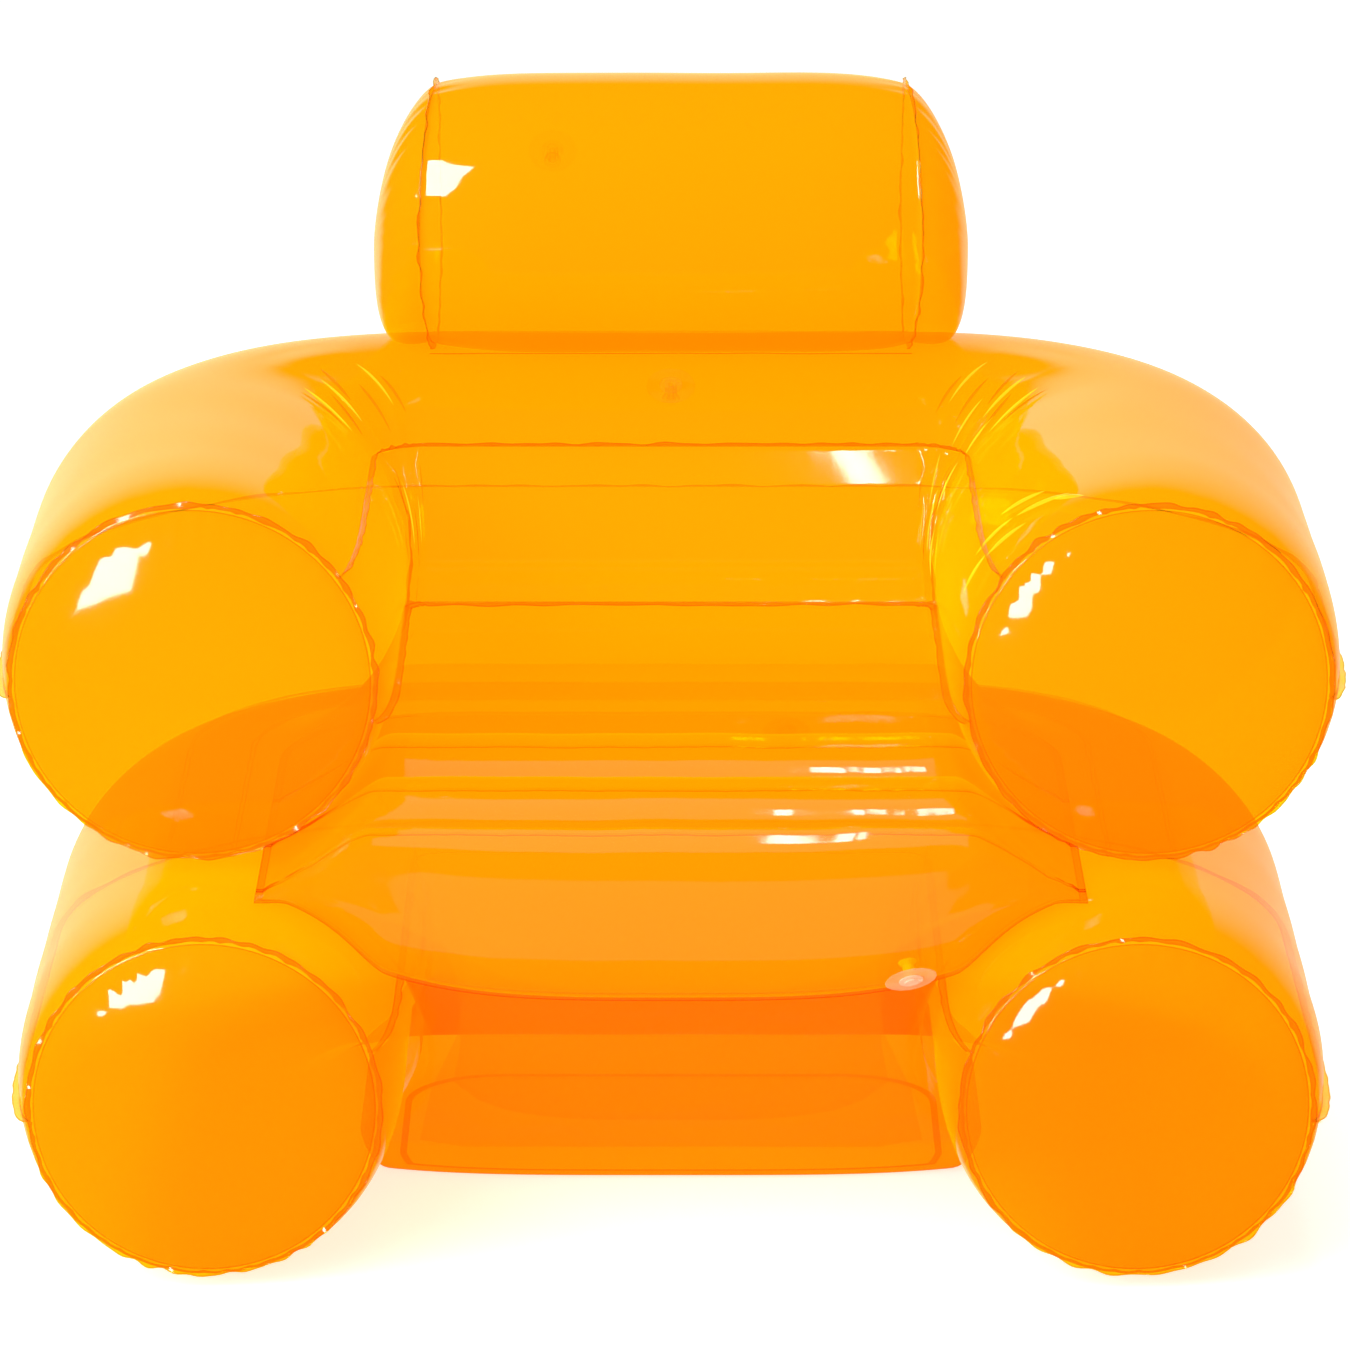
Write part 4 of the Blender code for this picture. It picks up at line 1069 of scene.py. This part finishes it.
def build_seat_bottom(ring):
    edge = tuck(ring, LIP, FLOOR_CLEAR + PITCH)
    centre = edge.mean(axis=0)
    shares = np.linspace(1.0, 0.02, 24)
    points = np.array([centre + (edge - centre) * share for share in shares])
    inside = np.linspace(0.0, 1.0, len(shares))[:, None]
    soft = 1.0 + waves(points[:, :, 0], points[:, :, 1], 81, 0.13)
    points[:, :, 2] += BOTTOM_UNEVEN * soft * np.clip(inside * 4.0, 0.0, 1.0)
    grid_piece("seat_bottom_panel", points, wall_film, closed=True, pole=True)


build_tubes()
build_headrest()
build_seat_top()
foot_ring = build_seat_wall()
build_seat_bottom(foot_ring)

for name, node in frame["nodes"].items():
    if name.startswith("seat_baffle"):
        node.data.materials.clear()
        node.data.materials.append(baffle_film)
    elif "valve" in name:
        node.data.materials.clear()
        moulded = rim_vinyl if name.endswith("flange") else vinyl
        node.data.materials.append(moulded if name.startswith("seat") else amber_vinyl)


# Floor, light and camera

FLOOR_COLOUR = (0.86, 0.86, 0.86, 1.0)
FLOOR_GLOW = 0.62
WORLD_LIGHT = 0.45

LEFT_BOX_ON = ("arm", "base", "ring", "seam", "corner", "bright", "back", "seat_valve")

# Lamps: name, place, target, size, power, and how the names start of the only pieces a lamp lights
LAMPS = (
    ("key", (0.2, 0.9, 3.6), (0.0, 0.0, 0.4), (1.6, 1.6), 60.0, ()),
    ("fill", (-2.2, -2.2, 1.6), (-0.2, -0.2, 0.45), (3.4, 3.0), 155.0, ()),
    ("softbox_left", (-1.80, -4.1, 1.25), (0.0, -0.2, 0.5), (0.98, 1.50), 90.0, LEFT_BOX_ON),
    ("softbox_head", (-1.325, -1.56, 2.43), (-0.2, 0.17, 0.83), (0.90, 1.30), 70.0, ("headrest",)),
    ("softbox_top", (0.225, -1.5, 2.6), (0.16, 0.14, 0.58), (0.045, 1.6), 5.2, ("arm_inner",)),
    ("floor_card", (0.0, -1.45, 0.004), (0.0, -1.45, 1.0), (2.40, 1.7), 4.2, ("seat_top",)),
    ("front_card", (0.0, -2.3, 1.25), (0.0, 0.0, 1.25), (2.40, 2.5), 6.2, ("seat_top",)),
    ("over_card", (0.0, 1.375, 2.5), (0.0, 1.375, 0.0), (1.80, 3.65), 12.8, ("seat_top",)),
    ("seat_window_near", (0.19, 0.35, 2.45), (0.19, 0.35, 0.0), (0.07, 0.60), 2.6, ("seat_top",)),
    ("seat_window_far", (0.28, 0.45, 2.45), (0.28, 0.45, 0.0), (0.06, 0.60), 1.6, ("seat_top",)))

LENS = 193.63
SENSOR_WIDTH = 36.0
CAMERA_SHIFT = 0.003
CAMERA_PLACE = (0.0, -6.2217, 2.158)
CAMERA_TILT_DEG = 74.40


def area_light(name, place, target, size, power):
    data = bpy.data.lights.new(name, "AREA")
    data.shape = "RECTANGLE"
    data.size, data.size_y = size
    data.energy = power
    lamp = bpy.data.objects.new(name, data)
    bpy.context.scene.collection.objects.link(lamp)
    lamp.location = place
    lamp.rotation_euler = (Vector(target) - Vector(place)).to_track_quat("-Z", "Y").to_euler()
    lamp.visible_camera = False
    return lamp


def light_only(lamp, words):
    """Limits a lamp to the pieces whose names start with one of the words."""
    group = bpy.data.collections.new(lamp.name + "_receivers")
    for piece in bpy.context.scene.objects:
        if piece.type == "MESH" and piece.name.startswith(words):
            group.objects.link(piece)
    lamp.light_linking.receiver_collection = group


def build_lamps():
    """The lamps that light everything don't show in the film. The others only make reflections."""
    for name, place, target, size, power, words in LAMPS:
        lamp = area_light(name, place, target, size, power)
        if words:
            light_only(lamp, words)
        else:
            lamp.visible_glossy = False


def build_floor():
    """A pale floor that takes the chair's shadow and otherwise looks white."""
    bpy.ops.mesh.primitive_plane_add(size=1.0, location=(0.0, 3.1, -0.0004))
    floor = bpy.context.object
    floor.scale = (14.0, 7.6, 1.0)
    floor.visible_glossy = False
    floor.name = "studio_floor"
    mat, tree = shader_tree("studio_floor")
    link = tree.links.new
    out = add_node(tree, "OutputMaterial")
    diffuse = add_node(tree, "BsdfDiffuse", {"Color": FLOOR_COLOUR})
    glow = add_node(tree, "Emission", {"Color": WHITE})
    path = add_node(tree, "LightPath")
    seen = add_node(tree, "Math", operation="MAXIMUM")
    seen_too = add_node(tree, "Math", operation="MAXIMUM")
    strength = add_node(tree, "Math", {1: FLOOR_GLOW}, operation="MULTIPLY")
    add = add_node(tree, "AddShader")
    link(path.outputs["Is Camera Ray"], seen.inputs[0])
    link(path.outputs["Is Glossy Ray"], seen.inputs[1])
    link(seen.outputs[0], seen_too.inputs[0])
    link(path.outputs["Is Transmission Ray"], seen_too.inputs[1])
    link(seen_too.outputs[0], strength.inputs[0])
    link(strength.outputs[0], glow.inputs["Strength"])
    link(diffuse.outputs[0], add.inputs[0])
    link(glow.outputs[0], add.inputs[1])
    link(add.outputs[0], out.inputs["Surface"])
    floor.data.materials.append(mat)


def build_world():
    """White where it is seen. In reflections it is bright behind the chair and dim in front of it."""
    world = bpy.data.worlds.new("studio")
    world.use_nodes = True
    tree = world.node_tree
    tree.nodes.clear()
    link = tree.links.new
    out = add_node(tree, "OutputWorld")
    path = add_node(tree, "LightPath")
    where = add_node(tree, "TexCoord")
    split = add_node(tree, "SeparateXYZ")
    back = map_range(tree, 0.80, 0.93, 0.02, 0.85, interpolation_type="SMOOTHSTEP")
    side = map_range(tree, -0.10, 0.45, 1.0, 0.55)
    level = add_node(tree, "Math", operation="MULTIPLY")
    plain = add_node(tree, "Background", {"Color": WHITE, "Strength": WORLD_LIGHT})
    mirror = add_node(tree, "Background", {"Color": WHITE})
    white = add_node(tree, "Background", {"Color": WHITE, "Strength": 1.0})
    glossy = add_node(tree, "MixShader")
    seen = add_node(tree, "MixShader")
    either = add_node(tree, "Math", operation="MAXIMUM")
    link(where.outputs["Generated"], split.inputs[0])
    link(split.outputs["Y"], back.inputs["Value"])
    link(split.outputs["X"], side.inputs["Value"])
    link(back.outputs["Result"], level.inputs[0])
    link(side.outputs["Result"], level.inputs[1])
    link(level.outputs[0], mirror.inputs["Strength"])
    link(path.outputs["Is Glossy Ray"], glossy.inputs["Fac"])
    link(plain.outputs[0], glossy.inputs[1])
    link(mirror.outputs[0], glossy.inputs[2])
    link(path.outputs["Is Camera Ray"], either.inputs[0])
    link(path.outputs["Is Transmission Ray"], either.inputs[1])
    link(either.outputs[0], seen.inputs["Fac"])
    link(glossy.outputs[0], seen.inputs[1])
    link(white.outputs[0], seen.inputs[2])
    link(seen.outputs[0], out.inputs["Surface"])
    bpy.context.scene.world = world


def build_camera():
    data = bpy.data.cameras.new("camera")
    data.lens = LENS
    data.sensor_width = SENSOR_WIDTH
    data.shift_x = CAMERA_SHIFT
    camera = bpy.data.objects.new("camera", data)
    bpy.context.scene.collection.objects.link(camera)
    camera.location = CAMERA_PLACE
    camera.rotation_euler = (math.radians(CAMERA_TILT_DEG), 0.0, 0.0)
    bpy.context.scene.camera = camera


build_floor()
build_world()
build_lamps()
build_camera()
scene = bpy.context.scene
scene.view_settings.view_transform = "Standard"
scene.cycles.transparent_max_bounces = 64
